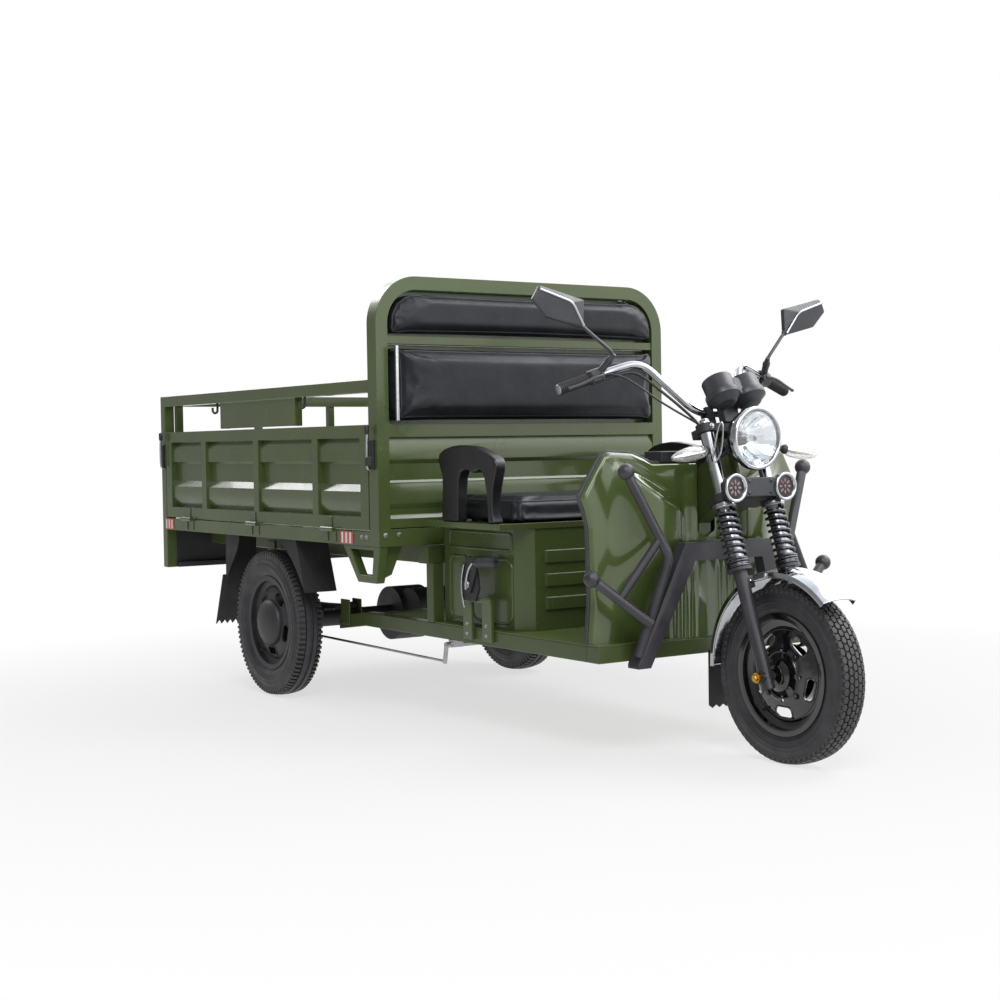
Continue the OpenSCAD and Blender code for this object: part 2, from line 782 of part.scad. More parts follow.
module parking_brake() {
    y = -floor_y - 8;
    pivot = [guard_x + 311, y - 18, floor_z + 156];
    color("#4c5b30") {
        side_plate(y, y + 8)
            polygon([[pivot.x - 68, floor_z - 40], [pivot.x + 60, floor_z - 40], [pivot.x + 40, pivot.z],
                [pivot.x - 10, pivot.z + 30], [pivot.x - 44, pivot.z]]);
        cross_rod(pivot.x, pivot.z, y - 24, y, 10);
    }
    color("#1c1c1e") {
        rod(pivot, pivot + [12, 0, 50], 16);
        rod(pivot + [6, 0, 40], pivot + [50, 0, 56], 16);
        rod(pivot + [44, 0, 54], pivot + [108, 0, 70], 34);
    }
}

module brake_rods() {
    arm_x = x_rear + 67;
    shaft_x = guard_x + 121;
    color("#77797b") {
        cross_rod(shaft_x, floor_z - 60, -floor_y - 19, floor_y + 19, 9);
        both() {
            rod([shaft_x, -floor_y - 15, floor_z - 60], [shaft_x - 12, -floor_y - 15, floor_z - 118], 14);
            rod([shaft_x - 12, -floor_y - 15, floor_z - 112], [arm_x, 20 - drum_y, z_rear - 40], 8);
            block([arm_x - 7, 12 - drum_y, z_rear - 52], [arm_x + 7, 26 - drum_y, z_rear - 30]);
            block([shaft_x - 12, -floor_y, floor_z - 68], [shaft_x + 12, -rail_y, floor_z - 46]);
        }
    }
}

// Steering

module fork_sliders() {
    color("#2b2c2f") on_fork() both() difference() {
        union() {
            translate([0, -leg_y, -34]) cylinder(r = 19, h = slider_top + 34);
            cross_rod(0, 0, -leg_y - 24, -leg_y + 20, 17);
            translate([0, -leg_y, slider_top - 8]) cylinder(r = 34, h = 8);
            block([-13, -leg_y, 244], [13, -60, 276]);
        }
        cross_rod(0, 0, -leg_y - 40, -leg_y + 40, axle_r + 0.05);
    }
}

module fork_shroud(gap) {
    translate([0, -leg_y, spring_top + 38]) cylinder(r1 = 16 + gap, r2 = 20 + gap, h = 174);
}

module fork_tubes() {
    color("#c9cbd0") on_fork() both() {
        translate([0, -leg_y, slider_top]) cylinder(r = 15, h = fork_top - slider_top + 14);
        translate([0, -leg_y, spring_top]) cylinder(r = 33, h = 8);
        fork_shroud(0);
    }
}

module fork_springs() {
    steps = 14;
    coil_r = 28;
    low = slider_top + spring_wire / 2 + 0.2;
    high = spring_top - spring_wire / 2 - 0.2;
    turns = spring_turns;
    color("#3a3b3e") on_fork() both() translate([0, -leg_y, 0])
        swept([for (i = [0 : turns * steps]) let (a = 360 * i / steps, rise = i / (turns * steps))
            [coil_r * cos(a), coil_r * sin(a), low + (high - low) * rise]], spring_wire / 2, 6);
}

module fork_yokes() {
    color("#2b2c2f") on_fork() difference() {
        union() {
            for (z = [yoke_low, yoke_high]) {
                block([stem_x - 22, -leg_y, z], [14, leg_y, z + 24]);
                for (y = [-leg_y, leg_y]) translate([0, y, z]) cylinder(r = 27, h = 24);
                translate([stem_x, 0, z]) cylinder(r = 30, h = 24);
            }
            translate([stem_x, 0, yoke_low]) cylinder(r = stem_r, h = yoke_high - yoke_low + 20);
            for (y = [-34, 34])
                block([stem_x - 15, y - 13, yoke_high + 24], [stem_x + 15, y + 13, bar_s + 15]);
        }
        for (y = [-leg_y, leg_y]) translate([0, y, 0]) {
            cylinder(r = 15.05, h = 900);
            translate([0, leg_y, 0]) fork_shroud(0.05);
        }
        cross_rod(stem_x, bar_s, -60, 60, 11.05);
    }
}

module front_axle() {
    color("#b9a05a") on_fork() {
        cross_rod(0, 0, -leg_y - 34, leg_y + 34, axle_r);
        both() {
            cross_rod(0, 0, -leg_y - 32, -leg_y - 24, 13);
            cross_rod(0, 0, -leg_y + 20, -64, 12);
        }
    }
}

bar_mid = fork_point(stem_x, 0, bar_s);
bar_right = [[bar_mid.x, -72, bar_mid.z], fork_point(-92.3, -186, 936), fork_point(-124, -262, 923.7),
             fork_point(-137.7, -300, 914.7)];
grip_end = fork_point(-177.2, -430, 882.8);
clamp = fork_point(-140.9, -314, 911.5);
mirror_base = fork_point(-98.6, -298, 936.1);

module handlebar() {
    path = concat([for (i = [3 : -1 : 0]) bar_right[i]], [for (p = bar_right) [p.x, -p.y, p.z]]);
    color("#c9cbd0") swept(bent(path, 26), 11, 14);
}

perch = fork_point(-117.2, -306, 906.6);

// Switch pod and lever perch of the right grip, grown by a gap
module control_body(gap) {
    rod(bar_right[3], bar_right[3] + 34 * unit(grip_end - bar_right[3]), 42 + 2 * gap);
    rod(clamp + [2, 6, 1], perch, 18 + 2 * gap);
}

module controls() {
    color("#1b1b1d") both() difference() {
        union() {
            control_body(0);
            rod(bar_right[3], grip_end, 33);
            rod(perch, fork_point(-137.8, -422, 871.3), 11);
            rod(clamp, mirror_base, 20);
        }
        rod(bar_right[2], bar_right[3], 22.8);
    }
}

// Routes of the wiring loom under the bar and of the brake cable beside it, both into the upper yoke
loom_route = [fork_point(-141, -308, 896), fork_point(-122, -258, 906), fork_point(-94, -206, 900),
              fork_point(-64, -146, 826), fork_point(-42, -92, 752), fork_point(-40, -66, yoke_high + 20)];
brake_route = [fork_point(-122, -300, 908), fork_point(-113, -276, 906), fork_point(-92, -240, 880),
               fork_point(-58, -170, 800), fork_point(-30, -100, 736),
               fork_point(-26, -66, yoke_high + 20)];

module control_cables() {
    color("#161617") both() difference() {
        union() {
            swept(bent(loom_route, 30), 4, 8);
            swept(bent(brake_route, 30), 3, 8);
        }
        control_body(0.1);
        on_fork() block([-60, -90, yoke_high], [0, -40, yoke_high + 24.1]);
    }
}

module mirrors() {
    lean = unit(mirror_base - clamp);
    root = mirror_base + 14 * lean;
    knee = fork_point(-64.7, -378, 1037.6);
    color("#1b1b1d") both() {
        rod(mirror_base, root, 20);
        rod(root - 5 * lean, knee, 10);
        hull() {
            translate(knee + [-3, -14, -7]) sphere(d = 30, $fn = 24);
            translate(knee + [-7, -6, 59]) sphere(d = 30, $fn = 24);
            translate(knee + [-11, -162, 47]) sphere(d = 24, $fn = 24);
            translate(knee + [-11, -142, 89]) sphere(d = 24, $fn = 24);
        }
    }
}

lamp = fork_point(93.6, 0, 640.4);

module headlamp() {
    r = lamp_d / 2;
    color("#c9cbd0") translate(lamp) rotate([0, 90, 0]) rotate_extrude($fn = 96)
        polygon([[0, -80], [30, -78], [56, -66], [74, -42], [r - 8, -16], [r, -12], [r, 4], [r - 7, 8],
            [r - 7, -6], [66, -36], [46, -58], [0, -70]]);
    color("#2b2c2f") on_fork() both() difference() {
        block([8, -leg_y + 6, 610], [66, -leg_y + 14, 646]);
        fork_shroud(0.05);
    }
}

module headlamp_lens() {
    r = lamp_d / 2 - 7.2;
    color("#d8dde2") translate(lamp) rotate([0, 90, 0]) rotate_extrude($fn = 96)
        polygon([[0, -6], [r, -6], [r, 3], [r * 0.8, 11], [r * 0.4, 16], [0, 17]]);
}

pod_r = 44;

module cluster() {
    color("#1d1e20") {
        on_fork() translate([48.6, 0, 792.3]) rotate([0, -13, 0]) {
            both() translate([0, -46, 0]) {
                translate([0, 0, -22]) cylinder(r = pod_r, h = 62);
                translate([0, 0, -24]) cylinder(r = pod_r + 6, h = 20);
                translate([0, 0, -42]) cylinder(r1 = 28, r2 = pod_r + 2, h = 18);
            }
            block([-30, -46, -24], [30, 46, 36]);
        }
        on_fork() block([-8, -30, yoke_high + 24], [22, 30, bar_s + 30]);
    }
}

module indicators() {
    stalk = fork_point(41, -140, 625.8);
    color("#d9d4cc") both() translate(stalk) rotate([90, 0, 0]) rotate([9, 0, 0])
        rotate_extrude($fn = 32)
            polygon([[0, 0], [13, 4], [19, 30], [20, 60], [16, 96], [8, 124], [0, 130]]);
    color("#1d1e20") both() difference() {
        rod(fork_point(0, -leg_y, 642), stalk - [0, 2, 0], 14);
        on_fork() fork_shroud(0.05);
    }
}

horn = fork_point(39.6, -92, 517.3);
horn_r = 40;

module horns() {
    color("#a8abb0") both() {
        translate(horn) rotate([0, 90, 0]) {
            cylinder(r = horn_r - 5, h = 22);
            translate([0, 0, 22]) cylinder(r1 = horn_r - 5, r2 = horn_r, h = 8);
        }
        on_fork() block([27.2, -leg_y - 12, yoke_low + 4], [50, -leg_y + 12, yoke_low + 12]);
    }
    color("#232427") translate([horn.x, 0, horn.z]) block([0, horn.y + 20, -26], [24, -20 - horn.y, 28]);
}

// Section of the front mudguard, moved in by its sheet: a crown of large radius over two upright lips
module fender_section(sheet) {
    crown = arc([fender_r - 150, 0], 150 - sheet, -fender_tip, fender_tip);
    lip = fender_r - 26 - (sheet > 0 ? 1 : 0);
    polygon(concat([[lip, sheet - 60]], crown, [[lip, 60 - sheet]]));
}

module front_fender() {
    hub = [x_front + 6, 0, z_front + 14];
    color("#c9cbd0") translate(hub) rotate([90, 0, 0]) rotate([0, 0, 47])
        rotate_extrude(angle = 136, $fn = 120) {
            difference() {
                fender_section(0);
                fender_section(3);
            }
        }
}

module fender_flap() {
    x = x_front + 6 - fender_r - 4.2;
    top = z_front + 44;
    low = 130;
    color("#1b1b1d") front_plate(x, x + 4)
        polygon(concat([[52, top], [-52, top]],
            [for (i = [0 : 8]) [-52 + 13 * i, low - (i % 2 == 0 ? 0 : 9)]]));
}

chassis_rails();
cross_members();
head_frame();
floor_panel();
leg_shield();
inner_panel();
dash_tray();
crash_bar_right();
crash_bar_left();
seat_box();
seat_deck();
battery_pack();
armrests();
guard_frame();
guard_panel();
backrest_upper();
backrest_lower();
bed_frame();
bed_floor();
side_rail_right();
side_rail_left();
rear_apron();
tail_lamps();
latches();
step_brackets();
leaf_springs();
spring_hangers();
rear_axle();
mudguards();
parking_brake();
brake_rods();
fork_sliders();
fork_tubes();
fork_springs();
fork_yokes();
front_axle();
handlebar();
controls();
control_cables();
mirrors();
headlamp();
headlamp_lens();
cluster();
indicators();
horns();
front_fender();
fender_flap();
front_tyre();
front_wheel();
rear_tyre_right();
rear_wheel_right();
rear_tyre_left();
rear_wheel_left();
drop_side_right();
drop_side_left();
tailgate();
seat_cushion();
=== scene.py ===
import json
import math

import bmesh
import bpy
import numpy as np
from mathutils import Matrix, Vector
from mathutils.bvhtree import BVHTree


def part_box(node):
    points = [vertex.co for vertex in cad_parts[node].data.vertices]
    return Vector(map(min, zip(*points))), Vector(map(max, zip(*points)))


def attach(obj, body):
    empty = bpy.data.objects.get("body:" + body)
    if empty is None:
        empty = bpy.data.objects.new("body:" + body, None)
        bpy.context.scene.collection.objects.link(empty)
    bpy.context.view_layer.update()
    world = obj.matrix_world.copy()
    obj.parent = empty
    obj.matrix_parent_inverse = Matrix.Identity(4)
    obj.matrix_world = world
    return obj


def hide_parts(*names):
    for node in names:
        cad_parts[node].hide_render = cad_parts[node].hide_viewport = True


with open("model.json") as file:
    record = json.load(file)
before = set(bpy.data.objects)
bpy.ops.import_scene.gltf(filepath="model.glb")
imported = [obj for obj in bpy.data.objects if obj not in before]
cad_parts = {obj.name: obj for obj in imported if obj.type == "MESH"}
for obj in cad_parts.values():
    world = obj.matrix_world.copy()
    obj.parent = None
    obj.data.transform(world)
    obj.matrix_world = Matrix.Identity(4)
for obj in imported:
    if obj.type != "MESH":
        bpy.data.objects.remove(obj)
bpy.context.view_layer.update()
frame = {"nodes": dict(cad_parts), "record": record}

MM = 0.001
NODES = frame["nodes"]
BODY_OF = {n: b for b, members in frame["record"]["behaviour"]["bodies"].items() for n in members}
SLOT_OF = {s["node"]: s["material_slot"] for s in frame["record"]["subparts"]}
UP = Vector((0, 0, 1))


# Camera, at the photograph's viewing angle

CAMERA_PLACE = (4.5737, -3.1227, 0.8697)
CAMERA_LENS, CAMERA_SENSOR = 59.42, 36
CAMERA_AZIMUTH, CAMERA_PITCH, CAMERA_ROLL = (math.radians(d) for d in (55.92, 1.89, -0.89))


def make_camera():
    a, p, r = CAMERA_AZIMUTH, CAMERA_PITCH, CAMERA_ROLL
    ahead = Vector((-math.sin(a) * math.cos(p), math.cos(a) * math.cos(p), -math.sin(p)))
    right = Vector((math.cos(a), math.sin(a), 0))
    above = right.cross(ahead)
    tilted = math.cos(r) * right + math.sin(r) * above
    upright = -math.sin(r) * right + math.cos(r) * above
    turn = Matrix((tilted, upright, -ahead)).transposed().to_4x4()
    camera = bpy.data.objects.new("camera", bpy.data.cameras.new("camera"))
    camera.data.lens = CAMERA_LENS
    camera.data.sensor_width = CAMERA_SENSOR
    camera.matrix_world = Matrix.Translation(CAMERA_PLACE) @ turn
    bpy.context.scene.collection.objects.link(camera)
    bpy.context.scene.camera = camera


# Materials

NOISE, CELLS = "ShaderNodeTexNoise", "ShaderNodeTexVoronoi"


def srgb(code):
    """Linear colour of an sRGB hex value."""
    parts = [int(code[i:i + 2], 16) / 255 for i in (0, 2, 4)]
    return [c / 12.92 if c <= 0.04045 else ((c + 0.055) / 1.055) ** 2.4 for c in parts] + [1.0]


def add(tree, kind, inputs=None, **settings):
    """Adds a node with its settings; an input is a value or the socket to link from."""
    made = tree.nodes.new(kind)
    for name, value in settings.items():
        setattr(made, name, value)
    for name, value in (inputs or {}).items():
        if isinstance(value, bpy.types.NodeSocket):
            tree.links.new(value, made.inputs[name])
        else:
            made.inputs[name].default_value = value
    return made


def per_mm(size):
    """Texture scale, in repeats per metre, of a pattern of that size in millimetres."""
    return 1000 / size


def new_material(name):
    material = bpy.data.materials.new(name)
    material.use_nodes = True
    tree = material.node_tree
    tree.nodes.clear()
    place = add(tree, "ShaderNodeTexCoord").outputs["Object"]
    return material, tree, place


def close_material(tree, shader):
    add(tree, "ShaderNodeOutputMaterial", {"Surface": shader.outputs[0]})


def two_tone(tree, place, size, low, high):
    """Slow drift between two hex colours, over patches of that size in millimetres."""
    drift = add(tree, NOISE, {"Vector": place, "Scale": per_mm(size), "Detail": 3})
    ramp = add(tree, "ShaderNodeValToRGB", {"Fac": drift.outputs[0]})
    ramp.color_ramp.elements[0].position, ramp.color_ramp.elements[1].position = 0.35, 0.65
    ramp.color_ramp.elements[0].color, ramp.color_ramp.elements[1].color = srgb(low), srgb(high)
    return ramp.outputs[0]


def uneven(tree, place, size, low, high):
    """A roughness that wanders between two values over patches of that size."""
    drift = add(tree, NOISE, {"Vector": place, "Scale": per_mm(size), "Detail": 4})
    spread = add(tree, "ShaderNodeMapRange", {0: drift.outputs[0], 1: 0.3, 2: 0.7, 3: low, 4: high})
    return spread.outputs[0]


def bumped(tree, place, under, kind, size, strength, height, inputs=None):
    """Normal over a texture of that size and height in millimetres, on top of the normal under it."""
    texture = add(tree, kind, {"Vector": place, "Scale": per_mm(size), **(inputs or {})})
    bump = add(tree, "ShaderNodeBump", {"Height": texture.outputs[0], "Strength": strength, "Distance": height * MM})
    if under:
        tree.links.new(under, bump.inputs["Normal"])
    return bump.outputs[0]


def solid(name, tones, patch, rough, layers, inputs=None):
    """An opaque finish: tones over patches, a (patch, low, high) roughness and layers of bump, in millimetres."""
    material, tree, place = new_material(name)
    normal = None
    for layer in layers:
        normal = bumped(tree, place, normal, *layer)
    shader = add(tree, "ShaderNodeBsdfPrincipled", {
        "Base Color": two_tone(tree, place, patch, *tones), "Roughness": uneven(tree, place, *rough),
        "Normal": normal, **(inputs or {})})
    close_material(tree, shader)
    return material


def enamel(name, low, high, rough, coat):
    """Sprayed enamel on pressed steel: deep gloss, slight orange peel, a little drift in tone."""
    return solid(name, (low, high), 260, (90, rough, rough + 0.09), [(NOISE, 14, 0.03, 0.6, {"Detail": 2})],
                 {"Specular IOR Level": 0.45, "Coat Weight": coat, "Coat Roughness": 0.04, "Coat IOR": 1.45})


def powder_coat(name, low, high, rough):
    """Powder coat on tube: satin, with the fine pebble that baking leaves."""
    return solid(name, (low, high), 120, (60, rough, rough + 0.12), [(NOISE, 2.2, 0.16, 0.4, {"Detail": 2})])


def moulded_plastic(name, low, high, rough, grain=1.6):
    """Injection-moulded ABS or PP: an etched grain that breaks up the sheen."""
    return solid(name, (low, high), 70, (40, rough, rough + 0.14), [(CELLS, grain, 0.1, 0.4)])


def plated(name, low, high, rough):
    """Plated or bare metal: mirror gloss broken by faint polishing haze."""
    return solid(name, (low, high), 60, (30, rough, rough + 0.08), [(NOISE, 12, 0.02, 0.5, {"Detail": 5})],
                 {"Metallic": 1.0})


def tyre_rubber(name, low, high):
    """Carbon-black tyre rubber: a dull sheen, greyed by bloom, with a fine grit."""
    return solid(name, (low, high), 45, (50, 0.42, 0.62), [(NOISE, 3, 0.25, 0.5, {"Detail": 6})],
                 {"Specular IOR Level": 0.5})


def coated_leather(name, low, high):
    """Black PVC upholstery cloth: embossed hide grain under a soft gloss, with stretch creases."""
    hide = (CELLS, 2.6, 0.22, 0.5, {"Randomness": 0.9})
    creases = (NOISE, 28, 0.35, 3, {"Detail": 5, "Roughness": 0.6})
    return solid(name, (low, high), 90, (70, 0.32, 0.5), [hide, creases], {"Specular IOR Level": 0.25})


def clear_lens(name, tint, rough, bump_size):
    """Clear moulded acrylic or glass with pressed optics on its inner face."""
    material, tree, place = new_material(name)
    shader = add(tree, "ShaderNodeBsdfPrincipled", {
        "Base Color": srgb(tint), "Roughness": rough, "Transmission Weight": 0.92, "IOR": 1.49,
        "Normal": bumped(tree, place, None, "ShaderNodeTexWave", bump_size, 0.25, 1, {"Distortion": 0})})
    close_material(tree, shader)
    return material


def reflex_tape(name, colour):
    """Retro-reflective sheet: coloured film over a small cell pattern."""
    material, tree, place = new_material(name)
    cells = add(tree, CELLS, {"Vector": place, "Scale": per_mm(5)}, feature="DISTANCE_TO_EDGE")
    edge = add(tree, "ShaderNodeMapRange", {0: cells.outputs[0], 1: 0.0, 2: 0.08, 3: 0.75, 4: 1.0})
    tone = add(tree, "ShaderNodeMix", {0: edge.outputs[0], 6: srgb("ffffff"), 7: srgb(colour)}, data_type="RGBA")
    shader = add(tree, "ShaderNodeBsdfPrincipled", {
        "Base Color": tone.outputs[2], "Roughness": 0.22, "Coat Weight": 0.6})
    close_material(tree, shader)
    return material


PAINT = enamel("olive_enamel", "43502a", "49572e", 0.2, 0.3)
DECK_PAINT = enamel("olive_enamel_deck", "49562b", "515f31", 0.36, 0.1)
UNDER_PAINT = enamel("olive_enamel_frame", "3c4824", "434f28", 0.34, 0.1)
SHIELD_PAINT = enamel("olive_gloss_abs", "48572c", "4e5e30", 0.14, 1.0)
POWDER = powder_coat("black_powder_coat", "2b2b30", "36363c", 0.36)
BLACK_STEEL = powder_coat("black_chassis_paint", "1b1b1d", "27272a", 0.5)
WHEEL_GLOSS = enamel("black_wheel_enamel", "0c0c0d", "151517", 0.16, 1.0)
WHEEL_SATIN = powder_coat("black_wheel_satin", "222224", "303033", 0.42)
PLASTIC = moulded_plastic("black_abs", "18181a", "242427", 0.38)
GLOSS_PLASTIC = moulded_plastic("black_gloss_abs", "0f0f11", "161619", 0.3)
DARK_PLASTIC = moulded_plastic("charcoal_abs", "2c2e32", "36383d", 0.34)
GREY_PLASTIC = moulded_plastic("grey_abs", "6a6d73", "777a80", 0.4)
SOFT_GRIP = moulded_plastic("black_grip_rubber", "151516", "1f1f21", 0.6, 2.4)
FLAP_RUBBER = moulded_plastic("black_flap_rubber", "19191a", "262627", 0.62, 2.4)
TRIM_RUBBER = moulded_plastic("grey_edge_trim", "2e3032", "383a3d", 0.5, 2.0)
SHEATH = moulded_plastic("pvc_cable_sheath", "121213", "1b1b1c", 0.42, 2.0)
TICK_PAINT = moulded_plastic("white_dial_paint", "d8d8d4", "e4e4e0", 0.5)
CHROME = plated("chrome_plate", "a4a6aa", "b8babe", 0.05)
DARK_STEEL = plated("black_oxide_steel", "3a3b3f", "4d4e53", 0.26)
SPRING_STEEL = plated("oiled_spring_steel", "4a4b4f", "5a5b60", 0.24)
SLEEVE_STEEL = plated("polished_sleeve_steel", "7d7e83", "8f9096", 0.16)
ZINC = plated("zinc_plated_steel", "9a9c9e", "b4b6b8", 0.28)
YELLOW_ZINC = plated("yellow_zinc", "b48a3c", "d0a854", 0.24)
HORN_MESH = plated("tinted_horn_mesh", "7c5f60", "94797a", 0.36)
REFLECTOR = plated("vacuum_aluminium", "dcdee2", "f0f1f3", 0.03)
MIRROR = plated("silvered_glass", "cfd6dc", "dde3e8", 0.01)
RUBBER = tyre_rubber("tyre_rubber", "242428", "303034")
TREAD = tyre_rubber("tread_rubber", "2e2d2d", "3a3838")
LEATHER = coated_leather("coated_leather", "1c1d22", "26272c")
WELT = coated_leather("leather_welt", "2c2d33", "383940")
GLASS = clear_lens("lamp_glass", "f4f7f8", 0.02, 14)
CLEAR = clear_lens("clear_acrylic", "fbfaf8", 0.03, 5)
AMBER = clear_lens("amber_bulb_glass", "e8a24a", 0.1, 8)
RED_LENS = clear_lens("red_acrylic", "b01510", 0.08, 6)
RED_TAPE = reflex_tape("red_reflex_sheet", "b3201a")
WHITE_TAPE = reflex_tape("white_reflex_sheet", "d9d9d4")
BATTERY = moulded_plastic("battery_case", "20262d", "2c333b", 0.5)


# Making and placing pieces

EDGE_ANGLE, FLAT_ANGLE = 32, 1


def new_object(name, mesh):
    made = bpy.data.objects.new(name, mesh)
    bpy.context.scene.collection.objects.link(made)
    return made


def settle(piece, body, replaced=()):
    """Says which body a piece rides on and the CAD nodes it is shown in place of."""
    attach(piece, body)
    if replaced:
        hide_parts(*replaced)
    return piece


def paint(piece, material):
    piece.data.materials.clear()
    piece.data.materials.append(material)


def apply_modifiers(piece):
    """Turns the evaluated shape into the piece's own mesh, with no modifier left."""
    ready = piece.evaluated_get(bpy.context.evaluated_depsgraph_get())
    mesh = bpy.data.meshes.new_from_object(ready)
    piece.modifiers.clear()
    piece.data = mesh


def shade(piece, angle):
    """Smooth shading that keeps edges sharper than the angle, in degrees."""
    for face in piece.data.polygons:
        face.use_smooth = True
    piece.data.set_sharp_from_angle(angle=math.radians(angle))


def level_faces(piece):
    """Large flat faces keep their own direction, and only the eased edges turn the light."""
    level = piece.modifiers.new("level", "WEIGHTED_NORMAL")
    level.mode = "FACE_AREA"
    level.keep_sharp = True
    apply_modifiers(piece)


def eased(piece, width, segments=2, angle=EDGE_ANGLE):
    """Rounds off, in millimetres, the edges sharper than the angle, in degrees."""
    ease = piece.modifiers.new("ease", "BEVEL")
    ease.width = width * MM
    ease.segments = segments
    ease.limit_method = "ANGLE"
    ease.angle_limit = math.radians(angle)
    apply_modifiers(piece)
    shade(piece, angle)
    level_faces(piece)
    return piece


def welded(mesh, gap, work):
    """Merges the points closer than the gap, in millimetres, and does the work on the mesh as one shape."""
    shape = bmesh.new()
    shape.from_mesh(mesh)
    bmesh.ops.remove_doubles(shape, verts=shape.verts, dist=gap * MM)
    work(shape)
    shape.to_mesh(mesh)
    shape.free()


def dress(node, material, bevel):
    """Shows a CAD node through a merged copy with its edges eased, in millimetres."""
    mesh = NODES[node].data.copy()
    piece = new_object(node + "_skin", mesh)
    welded(mesh, 0.02, lambda shape: bmesh.ops.dissolve_limit(
        shape, angle_limit=math.radians(FLAT_ANGLE), verts=shape.verts, edges=shape.edges))
    paint(piece, material)
    return settle(eased(piece, bevel), BODY_OF[node], [node])


def mesh_piece(name, verts, faces, material, angle=35):
    """A painted object from points in metres, its faces turned outward."""
    mesh = bpy.data.meshes.new(name)
    mesh.from_pydata([Vector(v) for v in verts], [], faces)
    mesh.validate()
    welded(mesh, 0.01, lambda shape: bmesh.ops.recalc_face_normals(shape, faces=shape.faces))
    piece = new_object(name, mesh)
    paint(piece, material)
    shade(piece, angle)
    return piece


def joined(parts):
    """One list of vertices and faces out of several."""
    verts, faces = [], []
    for v, f in parts:
        faces += [[i + len(verts) for i in face] for face in f]
        verts += list(v)
    return verts, faces


def placed(part, matrix):
    """The part moved by a matrix."""
    return [matrix @ Vector(v) for v in part[0]], part[1]


def lathe(profile, steps):
    """Closed outline of (radius, height) pairs in millimetres, turned about the z axis."""
    verts, faces = [], []
    n = len(profile)
    for i in range(steps):
        c, s = math.cos(2 * math.pi * i / steps), math.sin(2 * math.pi * i / steps)
        verts += [(r * c * MM, r * s * MM, h * MM) for r, h in profile]
    for i in range(steps):
        a, b = i * n, (i + 1) % steps * n
        faces += [[a + k, b + k, b + (k + 1) % n, a + (k + 1) % n] for k in range(n)]
    return verts, faces


def tube(path, radius, sides):
    """A round tube along points in metres; the radius may be one per point."""
    points = [Vector(p) for p in path]
    last = len(points) - 1
    side = None
    verts, faces = [], []
    for i, p in enumerate(points):
        ahead = (points[min(i + 1, last)] - points[max(i - 1, 0)]).normalized()
        side = (side or (UP if abs(ahead.z) < 0.9 else Vector((1, 0, 0))))
        side = (side - side.dot(ahead) * ahead).normalized()
        other = ahead.cross(side)
        r = radius[i] if hasattr(radius, "__len__") else radius
        verts += [p + r * (math.cos(t) * side + math.sin(t) * other)
                  for t in (2 * math.pi * k / sides for k in range(sides))]
    for i in range(last):
        a, b = i * sides, (i + 1) * sides
        faces += [[a + k, a + (k + 1) % sides, b + (k + 1) % sides, b + k] for k in range(sides)]
    faces += [list(range(sides))[::-1], [last * sides + k for k in range(sides)]]
    return verts, faces


def smooth_path(points, per_span):
    """Points of a smooth curve through the given ones."""
    p = [Vector(q) for q in points]
    p = [2 * p[0] - p[1], *p, 2 * p[-1] - p[-2]]
    found = []
    for i in range(1, len(p) - 2):
        for k in range(per_span):
            t = k / per_span
            found.append(0.5 * ((2 * p[i]) + (p[i + 1] - p[i - 1]) * t
                                + (2 * p[i - 1] - 5 * p[i] + 4 * p[i + 1] - p[i + 2]) * t * t
                                + (3 * p[i] - p[i - 1] - 3 * p[i + 1] + p[i + 2]) * t ** 3))
    return found + [p[-2]]


def box_part(low, high):
    """Eight corners and six faces between two corners, in millimetres."""
    x, y, z = ([low[i] * MM, high[i] * MM] for i in range(3))
    verts = [(x[i], y[j], z[k]) for i in (0, 1) for j in (0, 1) for k in (0, 1)]
    faces = [[0, 1, 3, 2], [4, 6, 7, 5], [0, 4, 5, 1], [2, 3, 7, 6], [0, 2, 6, 4], [1, 5, 7, 3]]
    return verts, faces


def side_slab(outline, low, high):
    """A slab from an (x, z) outline, between two places across the vehicle, in millimetres."""
    n = len(outline)
    verts = [(x * MM, y * MM, z * MM) for y in (low, high) for x, z in outline]
    return verts, [[i, (i + 1) % n, n + (i + 1) % n, n + i] for i in range(n)] + [
        list(range(n))[::-1], list(range(n, 2 * n))]


def mirrored(part):
    """The part on the vehicle's other side."""
    return [(v[0], -v[1], v[2]) for v in part[0]], [face[::-1] for face in part[1]]


# Sizes that the pieces share with the solids, in millimetres

FRONT_AXLE = Vector((1340, 0, 243))
REAR_AXLE = Vector((-700, 510, 258))
RAKE = math.radians(19)
LEG_Y = 90
HALF_W = 570
BEAD_R = 152


def fork_matrix():
    """From the fork's own frame, origin on the axle and z along the legs, to the vehicle's."""
    return Matrix.Translation(FRONT_AXLE * MM) @ Matrix.Rotation(-RAKE, 4, "Y")


def on_fork(x, y, s):
    """Place in metres of a point given in the fork's own frame, in millimetres."""
    return fork_matrix() @ (Vector((x, y, s)) * MM)


# Node trees: copies of a small shape on given spots, and a coil

def new_tree(name, sockets):
    """An empty tree of geometry nodes and its inputs."""
    tree = bpy.data.node_groups.new(name, "GeometryNodeTree")
    for label, kind in sockets:
        tree.interface.new_socket(label, in_out="INPUT", socket_type="NodeSocket" + kind)
    tree.interface.new_socket("Pieces", in_out="OUTPUT", socket_type="NodeSocketGeometry")
    return tree, add(tree, "NodeGroupInput").outputs


def close_tree(tree, made, given):
    """Real faces in the given finish, as the tree's output."""
    real = add(tree, "GeometryNodeRealizeInstances", {0: made.outputs[0]})
    finish = add(tree, "GeometryNodeSetMaterial", {0: real.outputs[0], "Material": given["Finish"]})
    add(tree, "NodeGroupOutput", {0: finish.outputs[0]})
    return tree


